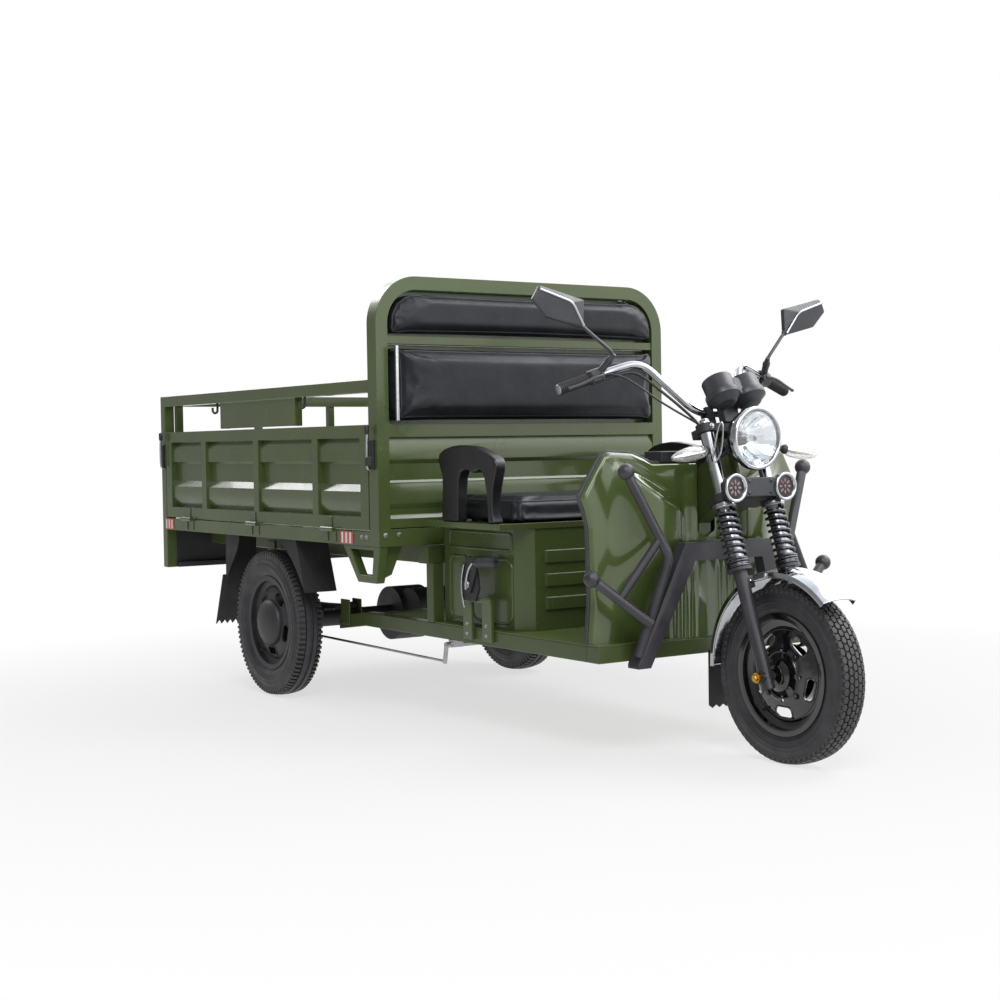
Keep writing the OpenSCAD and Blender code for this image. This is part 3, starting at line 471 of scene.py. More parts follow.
def repeat_tree():
    """Copies a shape onto points; aim, along and size are kept on each point."""
    tree, given = new_tree("copies_on_spots", [("Spots", "Geometry"), ("Shape", "Object"), ("Finish", "Material")])
    kept = {k: add(tree, "GeometryNodeInputNamedAttribute", {"Name": k}, data_type="FLOAT_VECTOR").outputs[0]
            for k in ("aim", "along", "size")}
    upright = add(tree, "FunctionNodeAlignRotationToVector", {"Vector": kept["aim"]}, axis="Z")
    turned = add(tree, "FunctionNodeAlignRotationToVector",
                 {"Rotation": upright.outputs[0], "Vector": kept["along"]}, axis="X", pivot_axis="Z")
    shape = add(tree, "GeometryNodeObjectInfo", {"Object": given["Shape"]})
    spread = add(tree, "GeometryNodeInstanceOnPoints", {
        "Points": given["Spots"], "Instance": shape.outputs["Geometry"], "Rotation": turned.outputs[0],
        "Scale": kept["size"]})
    return close_tree(tree, spread, given)


def coil_tree():
    """A round wire wound up the z axis."""
    tree, given = new_tree("wound_coil", [("Base", "Geometry"), ("Turns", "Float"), ("Radius", "Float"),
                                          ("Height", "Float"), ("Wire", "Float"), ("Finish", "Material")])
    spiral = add(tree, "GeometryNodeCurveSpiral", {
        "Resolution": 36, "Rotations": given["Turns"], "Start Radius": given["Radius"],
        "End Radius": given["Radius"], "Height": given["Height"]})
    section = add(tree, "GeometryNodeCurvePrimitiveCircle", {"Resolution": 12, "Radius": given["Wire"]})
    wire = add(tree, "GeometryNodeCurveToMesh", {
        0: spiral.outputs[0], "Profile Curve": section.outputs[0], "Fill Caps": True})
    smooth = add(tree, "GeometryNodeSetShadeSmooth", {0: wire.outputs[0]})
    return close_tree(tree, smooth, given)


REPEAT = repeat_tree()
COIL = coil_tree()


def grown(name, mesh, tree, settings):
    """The plain mesh that a tree grows out of a base mesh."""
    piece = new_object(name, mesh)
    grow = piece.modifiers.new("grow", "NODES")
    grow.node_group = tree
    for item in tree.interface.items_tree:
        if item.name in settings:
            grow[item.identifier] = settings[item.name]
    apply_modifiers(piece)
    return piece


def repeat(name, shape, spots, material):
    """One mesh of many copies of a small shape; a spot is its place, aim, along and size."""
    mesh = bpy.data.meshes.new(name)
    mesh.from_pydata([Vector(s[0]) for s in spots], [], [])
    for label, column in (("aim", 1), ("along", 2), ("size", 3)):
        kept = mesh.attributes.new(label, "FLOAT_VECTOR", "POINT")
        kept.data.foreach_set("vector", [c for s in spots for c in s[column]])
    pattern = mesh_piece(name + "_shape", *shape, material)
    piece = grown(name, mesh, REPEAT, {"Shape": pattern, "Finish": material})
    bpy.data.objects.remove(pattern)
    return piece


def stack(outline, levels):
    """A closed shape from one outline in millimetres, at several (height, scale) levels."""
    n = len(outline)
    top = n * (len(levels) - 1)
    verts = [(x * k * MM, y * k * MM, z * MM) for z, k in levels for x, y in outline]
    faces = [[a + i, a + (i + 1) % n, a + n + (i + 1) % n, a + n + i] for a in range(0, top, n) for i in range(n)]
    return verts, faces + [list(range(n))[::-1], list(range(top, top + n))]


def ring(radius, count):
    """Corners of a regular outline."""
    return [(radius * math.cos(2 * math.pi * i / count), radius * math.sin(2 * math.pi * i / count))
            for i in range(count)]


def spin(profile, steps, matrix):
    """A turned shape, moved by a matrix."""
    return placed(lathe(profile, steps), matrix)


def aimed(place, aim):
    """Frame with its z axis along the aim, at a place in millimetres."""
    return Matrix.Translation(Vector(place) * MM) @ Vector(aim).to_track_quat("Z", "Y").to_matrix().to_4x4()


def both_sides(parts):
    """The parts and their mirror images as one."""
    return joined([*parts, *(mirrored(p) for p in parts)])


def step(low, high, value):
    """Smooth rise from 0 to 1 between two values."""
    t = min(max((value - low) / (high - low), 0.0), 1.0)
    return t * t * (3 - 2 * t)


def along_table(table, value):
    """Straight-line reading of a table of (key, value) rows."""
    keys, values = zip(*table)
    return float(np.interp(value, keys, values))


# Places on the solids' own surfaces

SURFACES = {}


def skin_of(mesh):
    """Search tree of a mesh, for the lines that meet it."""
    return BVHTree.FromPolygons([v.co for v in mesh.vertices], [p.vertices for p in mesh.polygons])


def surface(node, start, ahead):
    """First point of a node's solid that a straight line meets, in millimetres."""
    if node not in SURFACES:
        SURFACES[node] = skin_of(NODES[node].data)
    found = SURFACES[node].ray_cast(Vector(start) * MM, Vector(ahead).normalized())[0]
    if found is None:
        raise RuntimeError("no surface of " + node)
    return found / MM


HEX_BOLT = joined([stack(ring(9.5, 20), [(-1, 1), (1.2, 1), (1.6, 0.94)]),
                   stack(ring(6.6, 6), [(1.2, 1), (5.6, 1), (6.6, 0.84)])])
ROUND_BOLT = stack(ring(8, 18), [(-1, 1), (0.6, 1), (2.6, 0.86), (3.8, 0.55), (4.2, 0.2)])


def bolts(name, body, shape, spots, material):
    """Bolt heads of one body; a spot is a place in millimetres, its aim and a size."""
    rows = [(Vector(p) * MM, aim, (aim[1], aim[2], aim[0]), (k, k, k)) for p, aim, k in spots]
    return settle(repeat(name, shape, rows, material), body)


# Tyres and wheels

BLOCK = stack([(-9, -4.6), (0, -7.4), (9, -4.6), (9, 4.6), (0, 7.4), (-9, 4.6)], [(-3, 1), (5.6, 0.97), (6.6, 0.88)])
BAR_LUG = stack([(-5.2, -9.5), (5.2, -9.5), (5.2, 9.5), (-5.2, 9.5)], [(-3, 1), (5.6, 0.97), (6.6, 0.88)])
LUG = stack([(-6.2, -9), (6.2, -9), (5, 9), (-5, 9)], [(-4, 1), (0.7, 0.96), (1.4, 0.84)])
CROWN_R, BLOCK_PITCH = 140, 21.2


def tyre(node, diameter, width, centre, pitch, ribbed):
    """Carcass with moulded rings on its walls; tread of six-sided blocks, or of two ribs between bar lugs."""
    r, case, middle = diameter / 2, width / 2, BEAD_R + (diameter / 2 - BEAD_R) * 0.47
    edge = 0.43 * width
    turn = Matrix.Translation(centre * MM) @ Matrix.Rotation(math.radians(90), 4, "X")

    def crown(a):
        return r - CROWN_R + math.sqrt(CROWN_R ** 2 - a * a)

    wall = [(BEAD_R + 2, 0), (BEAD_R + 2, 28), (BEAD_R + 5, 33), (BEAD_R + 12, 33.5)]
    for k in range(22):
        angle = math.radians(-36 + k * 3)
        swell = case + (1.1 if k in (4, 5, 12, 17) else 0)
        wall.append((middle + swell * math.sin(angle), swell * math.cos(angle)))
    wall += [(crown(edge) - 8, edge - 0.2), (crown(edge) - 7, edge * 0.9), (crown(edge / 2) - 7, edge / 2)]
    if ribbed:
        wall += [(crown(edge * 0.47) - 0.8, edge * 0.47), (crown(edge * 0.14) - 0.8, edge * 0.14),
                 (crown(edge * 0.1) - 6, edge * 0.1)]
    profile = wall + [(crown(0) - 7, 0)] + [(a, -b) for a, b in wall[:0:-1]]
    carcass = mesh_piece(node + "_carcass", *spin(profile, 144, turn), RUBBER, 40)
    settle(carcass, BODY_OF[node], [node])

    count = round(2 * math.pi * r / pitch)
    blocks, lugs = [], []
    rows = ((-0.77, 0.5), (0.77, 0)) if ribbed else ((-0.78, 0), (-0.39, 0.5), (0, 0), (0.39, 0.5), (0.78, 0))
    longer, reach, stretch = pitch / BLOCK_PITCH, 1.5 if ribbed else 1, edge * 0.39 / 14.8

    def spot(turns, radius, across):
        a = 2 * math.pi * turns / count
        out, along = Vector((math.cos(a), 0, math.sin(a))), Vector((-math.sin(a), 0, math.cos(a)))
        return centre * MM + (out * radius + Vector((0, across, 0))) * MM, out, along

    for k in range(count):
        for share, shift in rows:
            place, out, along = spot(k + shift, crown(share * edge) - 6.9, share * edge)
            lean = Vector((0, share * edge / CROWN_R, 0))
            blocks.append((place, out + lean, along, (longer, stretch, 0.96)))
        for side in (-1, 1):
            shift = 0 if ribbed and side > 0 else 0.5
            place, out, along = spot(k + shift, crown(edge) - 6 - 4.5 * reach, side * (edge - 0.6))
            lugs.append((place, (0, side, 0), side * along, (longer, reach, reach)))
    for suffix, shape, spots in (("_tread", BAR_LUG if ribbed else BLOCK, blocks), ("_shoulder", LUG, lugs)):
        settle(repeat(node + suffix, shape, spots, TREAD), BODY_OF[node])


def stadium(half, radius):
    """Outline of a slot: two half circles joined by straight sides."""
    ends, count = [], 10
    for sign in (1, -1):
        for k in range(count + 1):
            a = math.pi * (k / count - 0.5)
            ends.append((sign * (half + radius * math.cos(a)), sign * radius * math.sin(a)))
    return ends


def wheel_trim(node, centre, side, hub_top, hub_r):
    """Pressed lips round the five windows, rings round the hub, wheel nuts, the valve and the hub cap."""
    turn = Matrix.Translation(centre * MM) @ Matrix.Rotation(math.radians(90 * side), 4, "X")
    look = Vector((0, -side, 0))
    front = node == "front_wheel"
    skin = WHEEL_GLOSS if front else WHEEL_SATIN

    def on_disc(x, y):
        start = turn @ (Vector((x, y, -150)) * MM) / MM
        return surface(node, start, look) * MM

    def trim(suffix, part, material, angle=35):
        settle(mesh_piece(node + suffix, *part, material, angle), BODY_OF[node])

    lips = []
    for k in range(5):
        a = math.radians(72 * k + 18)
        c, s = math.cos(a), math.sin(a)
        path = [on_disc((101 + q) * c - t * s, (101 + q) * s + t * c) for t, q in stadium(17, 15.6)]
        lips.append(tube(path + path[:2], 2.4 * MM, 8))
    for radius, wire in ((63, 2.2), (122, 1.8)):
        path = [on_disc(radius * math.cos(t), radius * math.sin(t)) for t in
                (2 * math.pi * k / 72 for k in range(74))]
        lips.append(tube(path, wire * MM, 8))
    trim("_lips", joined(lips), skin, 50)

    nuts = []
    for k in range(4):
        a = math.radians(90 * k + 45)
        nuts.append((on_disc(74 * math.cos(a), 74 * math.sin(a)) / MM, tuple(-look), 1.05))
    bolts(node + "_nuts", BODY_OF[node], HEX_BOLT, nuts, DARK_STEEL)

    foot = on_disc(128 * math.cos(2.2), 128 * math.sin(2.2))
    valve = tube([foot + look * 0.002, foot - look * 0.012, foot - look * 0.014, foot - look * 0.024,
                  foot - look * 0.025], [0.0045, 0.0045, 0.0032, 0.0032, 0.002], 12)
    trim("_valve", valve, FLAP_RUBBER)

    if front:
        cap = [(0.5, hub_top + 1.5), (hub_r * 0.55, hub_top + 1.5), (hub_r * 0.72, hub_top - 1),
               (hub_r * 0.9, hub_top - 1), (hub_r, hub_top - 4), (hub_r, hub_top - 9), (0.5, hub_top - 9)]
    else:
        base, top = abs((on_disc(hub_r + 2, 0) / MM).y) - abs(centre.y), hub_top + 2
        dome = [(hub_r * math.sin(t), base + (top - base) * math.cos(t) ** 0.8) for t in
                (math.radians(6 * k) for k in range(1, 15))]
        cap = [(0.5, top), *dome, (hub_r, base - 3), (0.5, base - 3)]
    trim("_cap", spin(cap, 48, turn @ Matrix.Rotation(math.pi, 4, "X")), skin, 30)


def make_wheels():
    right, left = REAR_AXLE * Vector((1, -1, 1)), REAR_AXLE
    tyre("front_tyre", 486, 88, FRONT_AXLE, BLOCK_PITCH, False)
    tyre("rear_tyre_right", 516, 98, right, 19, True)
    tyre("rear_tyre_left", 516, 98, left, 19, True)
    wheel_trim("front_wheel", FRONT_AXLE, -1, 58, 30)
    wheel_trim("rear_wheel_right", right, -1, 62, 82)
    wheel_trim("rear_wheel_left", left, 1, 62, 82)


# Leg shield: one pressed sheet with knee bulges, pleats low down and a rolled rim

SHIELD_X, SHIELD_LOW = 1010, 318
SHIELD_LEAN = math.radians(6.4)
SHIELD_SIDE = [(318, 392), (440, 382), (640, 386), (690, 398), (724, 412), (790, 371), (838, 340)]
SHIELD_TOP = [(0, 814), (152, 814), (190, 828), (235, 842), (322, 847), (340, 838), (412, 838)]


def shield_depth(y, z):
    """How far the sheet stands forward of its plane, in millimetres."""
    crest = 722 + 0.6 * (min(y, 300) - 110)
    bulge = 50 * step(0, 52, crest - z) * step(70, 132, y) * (1 - step(176, 330, y)) * step(430, 610, z)
    valley = -7 * step(36, 74, y) * (1 - step(74, 112, y)) * step(520, 600, z)
    pleat = 5 * (0.5 - 0.5 * math.cos(2 * math.pi * (y - 36) / 24)) if 36 < y < 132 else 0
    pleat *= 1 - step(500, 570, z)
    brow = 5 * step(crest - 6, crest + 24, z) * step(120, 220, y)
    return bulge + valley + pleat + brow


def shield_sheet():
    """Half of the shield, on the vehicle's right, and the line of its rim."""
    across, up, lip = 64, 84, [3, 7, 10, 12]
    rows = []
    for j in range(up + 1 + len(lip)):
        row = []
        v = min(j, up) / up
        for i in range(across + 1 + len(lip)):
            u = min(i, across) / across
            z = SHIELD_LOW + v * (along_table(SHIELD_TOP, u * 340) - SHIELD_LOW)
            inner = 33 * step(598, 622, z)
            y = inner + u * (along_table(SHIELD_SIDE, z) - inner)
            rim = min((1 - u) * 380, (1 - v) * 500)
            x = shield_depth(y, z) * step(0, 34, rim)
            x -= 12 - math.sqrt(max(144 - max(12 - rim, 0) ** 2, 0))
            back = max([0] + [lip[k - 1] for k in (i - across, j - up) if k > 0])
            x -= back
            row.append((SHIELD_X + x * math.cos(SHIELD_LEAN) - y * math.sin(SHIELD_LEAN),
                        -(x * math.sin(SHIELD_LEAN) + y * math.cos(SHIELD_LEAN)), z))
        rows.append(row)
    wide = len(rows[0])
    verts = [Vector(p) * MM for row in rows for p in row]
    faces = [[j * wide + i, (j + 1) * wide + i, (j + 1) * wide + i + 1, j * wide + i + 1]
             for j in range(len(rows) - 1) for i in range(wide - 1)]
    edge = [rows[j][across + 3] for j in range(up + 1)]
    top = [rows[up + 3][i] for i in range(across, -1, -1)]
    return (verts, faces), edge + top


def make_shield():
    half, edge = shield_sheet()
    sheet = mesh_piece("leg_shield_sheet", *both_sides([half]), SHIELD_PAINT, 60)
    wall = sheet.modifiers.new("wall", "SOLIDIFY")
    wall.thickness = 3 * MM
    wall.offset = -1
    apply_modifiers(sheet)
    shade(sheet, 50)
    settle(sheet, "chassis", ["leg_shield"])

    path = [Vector((p[0] + 1, p[1] * 1.004, p[2])) * MM for p in edge]
    trim = both_sides([tube(path, 6.5 * MM, 10)])
    settle(mesh_piece("leg_shield_trim", *trim, TRIM_RUBBER, 60), "chassis")


# Cushions: foam under stretched cover

def swollen(piece, cap, board):
    """Blows the pad up as cloth, its board side held, and limits how far a point moves."""
    start = np.empty(len(piece.data.vertices) * 3)
    piece.data.vertices.foreach_get("co", start)
    start = start.reshape(-1, 3)
    held = piece.vertex_groups.new(name="board")
    held.add([i for i, p in enumerate(start) if board(p)], 1.0, "REPLACE")
    swell = piece.modifiers.new("swell", "CLOTH")
    cloth = swell.settings
    cloth.quality = 6
    cloth.mass = 0.3
    cloth.tension_stiffness = cloth.compression_stiffness = 12
    cloth.shear_stiffness = 5
    cloth.bending_stiffness = 0.4
    cloth.use_pressure = True
    cloth.uniform_pressure_force = 4
    cloth.effector_weights.gravity = 0
    cloth.vertex_group_mass = "board"
    for number in range(1, 21):
        bpy.context.scene.frame_set(number)
    apply_modifiers(piece)
    piece.vertex_groups.clear()
    bpy.context.scene.frame_set(1)
    moved = np.empty(len(start) * 3)
    piece.data.vertices.foreach_get("co", moved)
    change = moved.reshape(-1, 3) - start
    length = np.linalg.norm(change, axis=1, keepdims=True)
    change *= np.minimum(1, cap * MM / np.maximum(length, 1e-9))
    piece.data.vertices.foreach_set("co", (start + change).ravel())
    piece.data.update()


def cushion(node, voxel, shrink, cap, board, creases):
    """A pad from a smaller copy of its solid: blown up, smoothed, and creased at its corners."""
    mesh = NODES[node].data.copy()
    piece = new_object(node + "_pad", mesh)
    low, high = (Vector(p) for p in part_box(node))
    middle, span = (low + high) / 2, high - low
    scale = Vector([1 - 2 * s * MM / w for s, w in zip(shrink, span)])

    def shrunk(shape):
        for vert in shape.verts:
            vert.co = Vector([m + (c - m) * k for m, c, k in zip(middle, vert.co, scale)])

    welded(mesh, 0.02, shrunk)
    net = piece.modifiers.new("net", "REMESH")
    net.mode = "VOXEL"
    net.voxel_size = voxel * MM
    apply_modifiers(piece)
    swollen(piece, cap, board)
    smooth = piece.modifiers.new("smooth", "SMOOTH")
    smooth.factor = 0.5
    smooth.iterations = 3
    finer = piece.modifiers.new("finer", "SUBSURF")
    finer.levels = finer.render_levels = 1
    apply_modifiers(piece)
    rest = [(v.co / MM, v.normal.copy()) for v in piece.data.vertices]
    for vert, (place, normal) in zip(piece.data.vertices, rest):
        vert.co += creases(place, normal) * MM
    paint(piece, LEATHER)
    shade(piece, 180)
    settle(piece, BODY_OF[node], [node])
    return piece


def rounded(half_w, half_h, radius):
    """Outline of a rectangle with round corners, as (across, up) pairs about its middle."""
    found, count = [], 9
    for k, (sx, sy) in enumerate(((1, 1), (-1, 1), (-1, -1), (1, -1))):
        for i in range(count + 1):
            a = math.pi / 2 * (k + i / count)
            found.append((sx * (half_w - radius) + radius * math.cos(a),
                          sy * (half_h - radius) + radius * math.sin(a)))
    return found


def filled_in(outline, gap):
    """The closed outline with points no farther apart than the gap."""
    found = []
    for a, b in zip(outline, outline[1:] + outline[:1]):
        n = max(1, math.ceil(math.dist(a, b) / gap))
        found += [(a[0] + (b[0] - a[0]) * k / n, a[1] + (b[1] - a[1]) * k / n) for k in range(n)]
    return found


def piping(name, pad, rows, body):
    """A welt sewn round a pad, laid on its surface; a row is a start and a heading, in millimetres."""
    skin, path = skin_of(pad.data), []
    for start, ahead in rows:
        found = skin.ray_cast(Vector(start) * MM, Vector(ahead))[0]
        if found is not None:
            path.append(found + Vector(ahead) * 0.6 * MM)
    welt = tube(path + path[:2], 3.4 * MM, 10)
    settle(mesh_piece(name, *welt, WELT, 60), body)


def corner_creases(middle, half, axes, depth, reach):
    """Pull lines that fan out of the corners of a pad, as a shift along the surface's own normal."""
    a, b = axes

    def shift(p, normal):
        u, v = p[a] - middle[a], p[b] - middle[b]
        du, dv = half[0] - abs(u), half[1] - abs(v)
        away = math.hypot(du, dv)
        if away > reach:
            return Vector()
        fan = math.sin(11 * math.atan2(dv + 4, du + 4) + 0.04 * away + (1 if u > 0 else 2.3))
        return normal * depth * fan * (1 - away / reach) ** 1.5 * min(1, away / 25)
    return shift


def make_cushions():
    lower = cushion("backrest_lower", 6.5, (6, 8, 8), 12, lambda p: p[0] < 0.090,
                    corner_creases((127, 0, 1067), (514, 121), (1, 2), 2.6, 190))
    rows = [((149, y * 1.3, 1067 + z * 1.6), Vector((0, -y * 0.3, -z * 0.6)).normalized())
            for y, z in filled_in(rounded(514, 121, 46), 22)]
    piping("backrest_lower_welt", lower, rows, "chassis")
    upper = cushion("backrest_upper", 6, (5, 8, 7), 11, lambda p: p[0] < 0.088,
                    corner_creases((115, 0, 1288), (522, 67), (1, 2), 2.0, 130))
    rows = [((130, y * 1.3, 1288 + z * 1.9), Vector((0, -y * 0.3, -z * 0.9)).normalized())
            for y, z in filled_in(rounded(522, 67, 60), 22)]
    piping("backrest_upper_welt", upper, rows, "chassis")
    seat = cushion("seat_cushion", 6.5, (7, 7, 6), 12, lambda p: p[2] < 0.650,
                   corner_creases((396, 0, 677), (206, 385), (0, 1), 2.4, 150))
    rows = [((396 + x * 1.5, y * 1.4, 703), Vector((-x * 0.5, -y * 0.4, 0)).normalized())
            for x, y in filled_in(rounded(206, 385, 40), 22)]
    piping("seat_welt", seat, rows, "seat")


# Front end: lamps, horns, instruments, bar, mirrors, fork and mudguard

LAMP = (1220, 0, 879)
HORN = (1209, -92, 745)
STALK = (1175, -140, 848)
KNEE = (936, -378, 1203)
BAR = [(-40, -72, 762), (-92.3, -186, 936), (-124, -262, 923.7), (-137.7, -300, 914.7)]
GRIP_END = (-177.2, -430, 882.8)
CLAMP = (-140.9, -314, 911.5)
PERCH = (-117.2, -306, 906.6)
LEVER_END = (-137.8, -422, 871.3)
MIRROR_BASE = (-98.6, -298, 936.1)
LOOM = [(-141, -308, 896), (-122, -258, 906), (-94, -206, 900), (-64, -146, 826), (-42, -92, 752), (-40, -66, 714)]
BRAKE_LINE = [(-122, -300, 908), (-113, -276, 906), (-92, -240, 880), (-58, -170, 800), (-30, -100, 736),
              (-26, -66, 714)]


def bent_path(points, cut, count=8):
    """The points' straight runs, with each corner rounded off over that length."""
    p = [Vector(q) for q in points]
    found = [p[0]]
    for a, b, c in zip(p, p[1:], p[2:]):
        start = b + (a - b).normalized() * min(cut, (a - b).length * 0.48)
        end = b + (c - b).normalized() * min(cut, (c - b).length * 0.48)
        for k in range(count + 1):
            t = k / count
            found.append((1 - t) ** 2 * start + 2 * t * (1 - t) * b + t * t * end)
    return found + [p[-1]]


def front_piece(name, part, material, replaced=(), angle=35):
    """A piece that turns with the fork."""
    return settle(mesh_piece(name, *part, material, angle), "steering", replaced)


def make_headlamp():
    turn = Matrix.Translation(Vector(LAMP) * MM) @ Matrix.Rotation(math.radians(90), 4, "Y")
    bucket = [(0.5, -80), (30, -78), (56, -66), (74, -42), (81, -16), (84, -10), (84, -4), (79, -4), (77, -16),
              (70, -39), (53, -61), (29, -73), (0.5, -75)]
    brackets = [placed(box_part((8, y - 4, 610), (66, y + 4, 646)), fork_matrix()) for y in (-80, 80)]
    front_piece("headlamp_bucket", joined([spin(bucket, 72, turn), *brackets]), WHEEL_GLOSS)
    rim = [(77, -3), (84, -12), (88.4, -11.5), (89, -6), (88.6, 0), (87, 4.6), (83.6, 7.6), (79.6, 8), (76.6, 6),
           (76, 2)]
    front_piece("headlamp_ring", spin(rim, 96, turn), CHROME, ["headlamp"], 60)
    bowl = [(r, -58 + 54 * (r / 76) ** 2) for r in (12 + 64 * k / 7 for k in range(8))]
    shell = bowl + [(r + 1.2, h - 1.2) for r, h in bowl[::-1]]
    front_piece("headlamp_reflector", spin(shell, 30, turn), REFLECTOR, (), 8)
    holder = [(0.5, -60), (17, -60), (17, -52), (13, -49), (13, -40), (9, -37), (0.5, -37)]
    front_piece("headlamp_holder", spin(holder, 32, turn), PLASTIC)
    bulb = [(0.5, -37), (7.5, -37), (8.5, -30), (8.5, -16), (6.5, -9), (3, -6), (0.5, -5.6)]
    front_piece("headlamp_bulb", spin(bulb, 28, turn), GLASS)
    dome = [(0.4, 16.6), (24, 15.8), (45, 13), (62, 8.8), (72, 4.4), (77, 1), (77, -1.6), (71.5, 1.8), (61.5, 6.2),
            (44.6, 10.4), (24, 13.2), (0.4, 14)]
    front_piece("headlamp_glass", spin(dome, 96, turn), GLASS, ["headlamp_lens"], 60)
    bends = [(6, -99, 606), (34, -106, 634), (66, -108, 676), (80, -104, 692), (79, -100, 678), (60, -98, 640),
             (38, -97, 612), (14, -98, 598)]
    loop = smooth_path([on_fork(*p) for p in bends], 6)
    front_piece("headlamp_guard_wire", both_sides([tube(loop, 2.6 * MM, 10)]), CHROME, (), 60)


def make_indicators():
    turn = Matrix.Translation(Vector(STALK) * MM) @ Matrix.Rotation(math.radians(99), 4, "X")
    lens = [(0.4, 7), (12, 7.5), (16.5, 18), (19, 34), (20, 60), (18.6, 80), (15.6, 98), (11, 115), (6.4, 126),
            (0.4, 130), (0.4, 128), (5.6, 124), (9.8, 113), (14, 97), (17, 79), (18.4, 60), (17.4, 34), (15, 19),
            (11, 9.5), (0.4, 9.5)]
    front_piece("indicator_lenses", both_sides([spin(lens, 40, turn)]), CLEAR, ["indicators"], 60)
    tray = [(0.4, 11), (10, 11), (14, 22), (16, 40), (16.4, 60), (14.6, 82), (11.4, 100), (7, 114), (0.4, 121)]
    back = placed(lathe(tray, 28), turn @ Matrix.Diagonal((0.9, 0.34, 1, 1)))
    front_piece("indicator_reflectors", both_sides([back]), REFLECTOR, (), 16)
    bulb = [(0.4, 26), (5.4, 27), (7.4, 38), (7.4, 52), (5.4, 60), (0.4, 63)]
    front_piece("indicator_bulbs", both_sides([spin(bulb, 24, turn)]), AMBER)
    base = [(0.4, -4), (9, -4), (12.6, 1), (14, 7.4), (12, 9), (0.4, 9)]
    stem = tube([on_fork(2, -LEG_Y - 18, 641), Vector(STALK) * MM + Vector((0, -0.002, 0))], 7 * MM, 16)
    front_piece("indicator_stalks", both_sides([spin(base, 32, turn), stem]), PLASTIC)


def make_horns():
    turn = Matrix.Translation(Vector(HORN) * MM) @ Matrix.Rotation(math.radians(90), 4, "Y")
    body = [(0.4, 0), (31, 0), (35, 4), (35, 20), (33, 22), (30, 23), (0.4, 23)]
    front_piece("horn_bodies", both_sides([spin(body, 48, turn)]), PLASTIC)
    rim = [(29, 22), (35, 19), (37.6, 21), (39.6, 25), (39.4, 28), (37, 30), (33.6, 30), (31, 27.6), (29.6, 24)]
    front_piece("horn_rings", both_sides([spin(rim, 64, turn)]), CHROME, ["horns"], 60)
    petal = stack([(0.9 * x, y) for x, y in ring(1, 14)], [(0, 1), (0.7, 1), (1.1, 0.7)])
    spots = []
    for side in (-1, 1):
        middle = Vector((HORN[0] + 23, side * 92, HORN[2])) * MM
        for k in range(8):
            a = 2 * math.pi * k / 8
            out = Vector((0, math.cos(a), math.sin(a)))
            spots.append((middle + out * 16 * MM, (1, 0, 0), out, (7.4, 3.1, 1)))
        spots.append((middle, (1, 0, 0), (0, 1, 0), (4.6, 4.6, 1.4)))
    settle(repeat("horn_grilles", petal, spots, HORN_MESH), "steering")
    plate = box_part((1210, -72, 720), (1232, 72, 772))
    ears = [placed(box_part((27.4, y - 12, 491), (50, y + 12, 499)), fork_matrix()) for y in (-90, 90)]
    bar = eased(mesh_piece("horn_plate", *joined([plate, *ears]), DARK_PLASTIC), 4)
    settle(bar, "steering")
    bolts("horn_plate_bolts", "steering", ROUND_BOLT,
          [((1232, y, z), (1, 0, 0), 0.7) for y in (-40, 40) for z in (730, 762)], DARK_STEEL)


def make_instruments():
    middle = Matrix.Translation(Vector((48.6, 0, 792.3)) * MM)
    base = fork_matrix() @ middle @ Matrix.Rotation(math.radians(-13), 4, "Y")
    pods, faces, glasses, ticks = [], [], [], []
    hood = [(0.5, -42), (26, -42), (28, -41), (44.6, -25), (49.4, -23), (50, -20), (50, -8), (49, -5), (45.4, -4),
            (44, -1), (44, 37), (42.6, 40), (39.4, 40), (38, 37.6), (37.4, 33), (0.5, 33)]
    for y in (-46, 46):
        turn = base @ Matrix.Translation((0, y * MM, 0))
        pods.append(spin(hood, 56, turn))
        faces.append(spin([(0.4, 33.2), (36.6, 33.2), (36.6, 34.2), (0.4, 34.2)], 56, turn))
        glasses.append(spin([(0.4, 37), (37.6, 37), (37.6, 38), (0.4, 38)], 56, turn))
        marks = [(-30 + 10 * k, 29, 34.2, (2.2, 0.5, 0.6) if k % 4 else (3.6, 0.8, 0.6)) for k in range(25)]
        needle = (205, 10, 35, (16, 0.9, 0.8))
        facing = turn.to_3x3()
        for angle, radius, high, size in [*marks, needle]:
            a = math.radians(angle)
            out = Vector((math.cos(a), math.sin(a), 0))
            ticks.append((turn @ (out * radius * MM + Vector((0, 0, high * MM))), facing @ UP, facing @ out, size))
    front_piece("instrument_hoods", joined(pods), DARK_PLASTIC, ["cluster"])
    block = placed(box_part((-30, -46, -22), (28, 46, 33)), base)
    foot = placed(box_part((-7, -29, 714), (21, 29, 790)), fork_matrix())
    bridge = eased(mesh_piece("instrument_bridge", *joined([block, foot]), DARK_PLASTIC), 5)
    settle(bridge, "steering")
    front_piece("dial_faces", joined(faces), PLASTIC)
    bar = stack([(-1, -1), (1, -1), (1, 1), (-1, 1)], [(0, 1), (0.5, 1), (0.7, 0.8)])
    settle(repeat("dial_ticks", bar, ticks, TICK_PAINT), "steering")
    front_piece("dial_glasses", joined(glasses), GLASS)


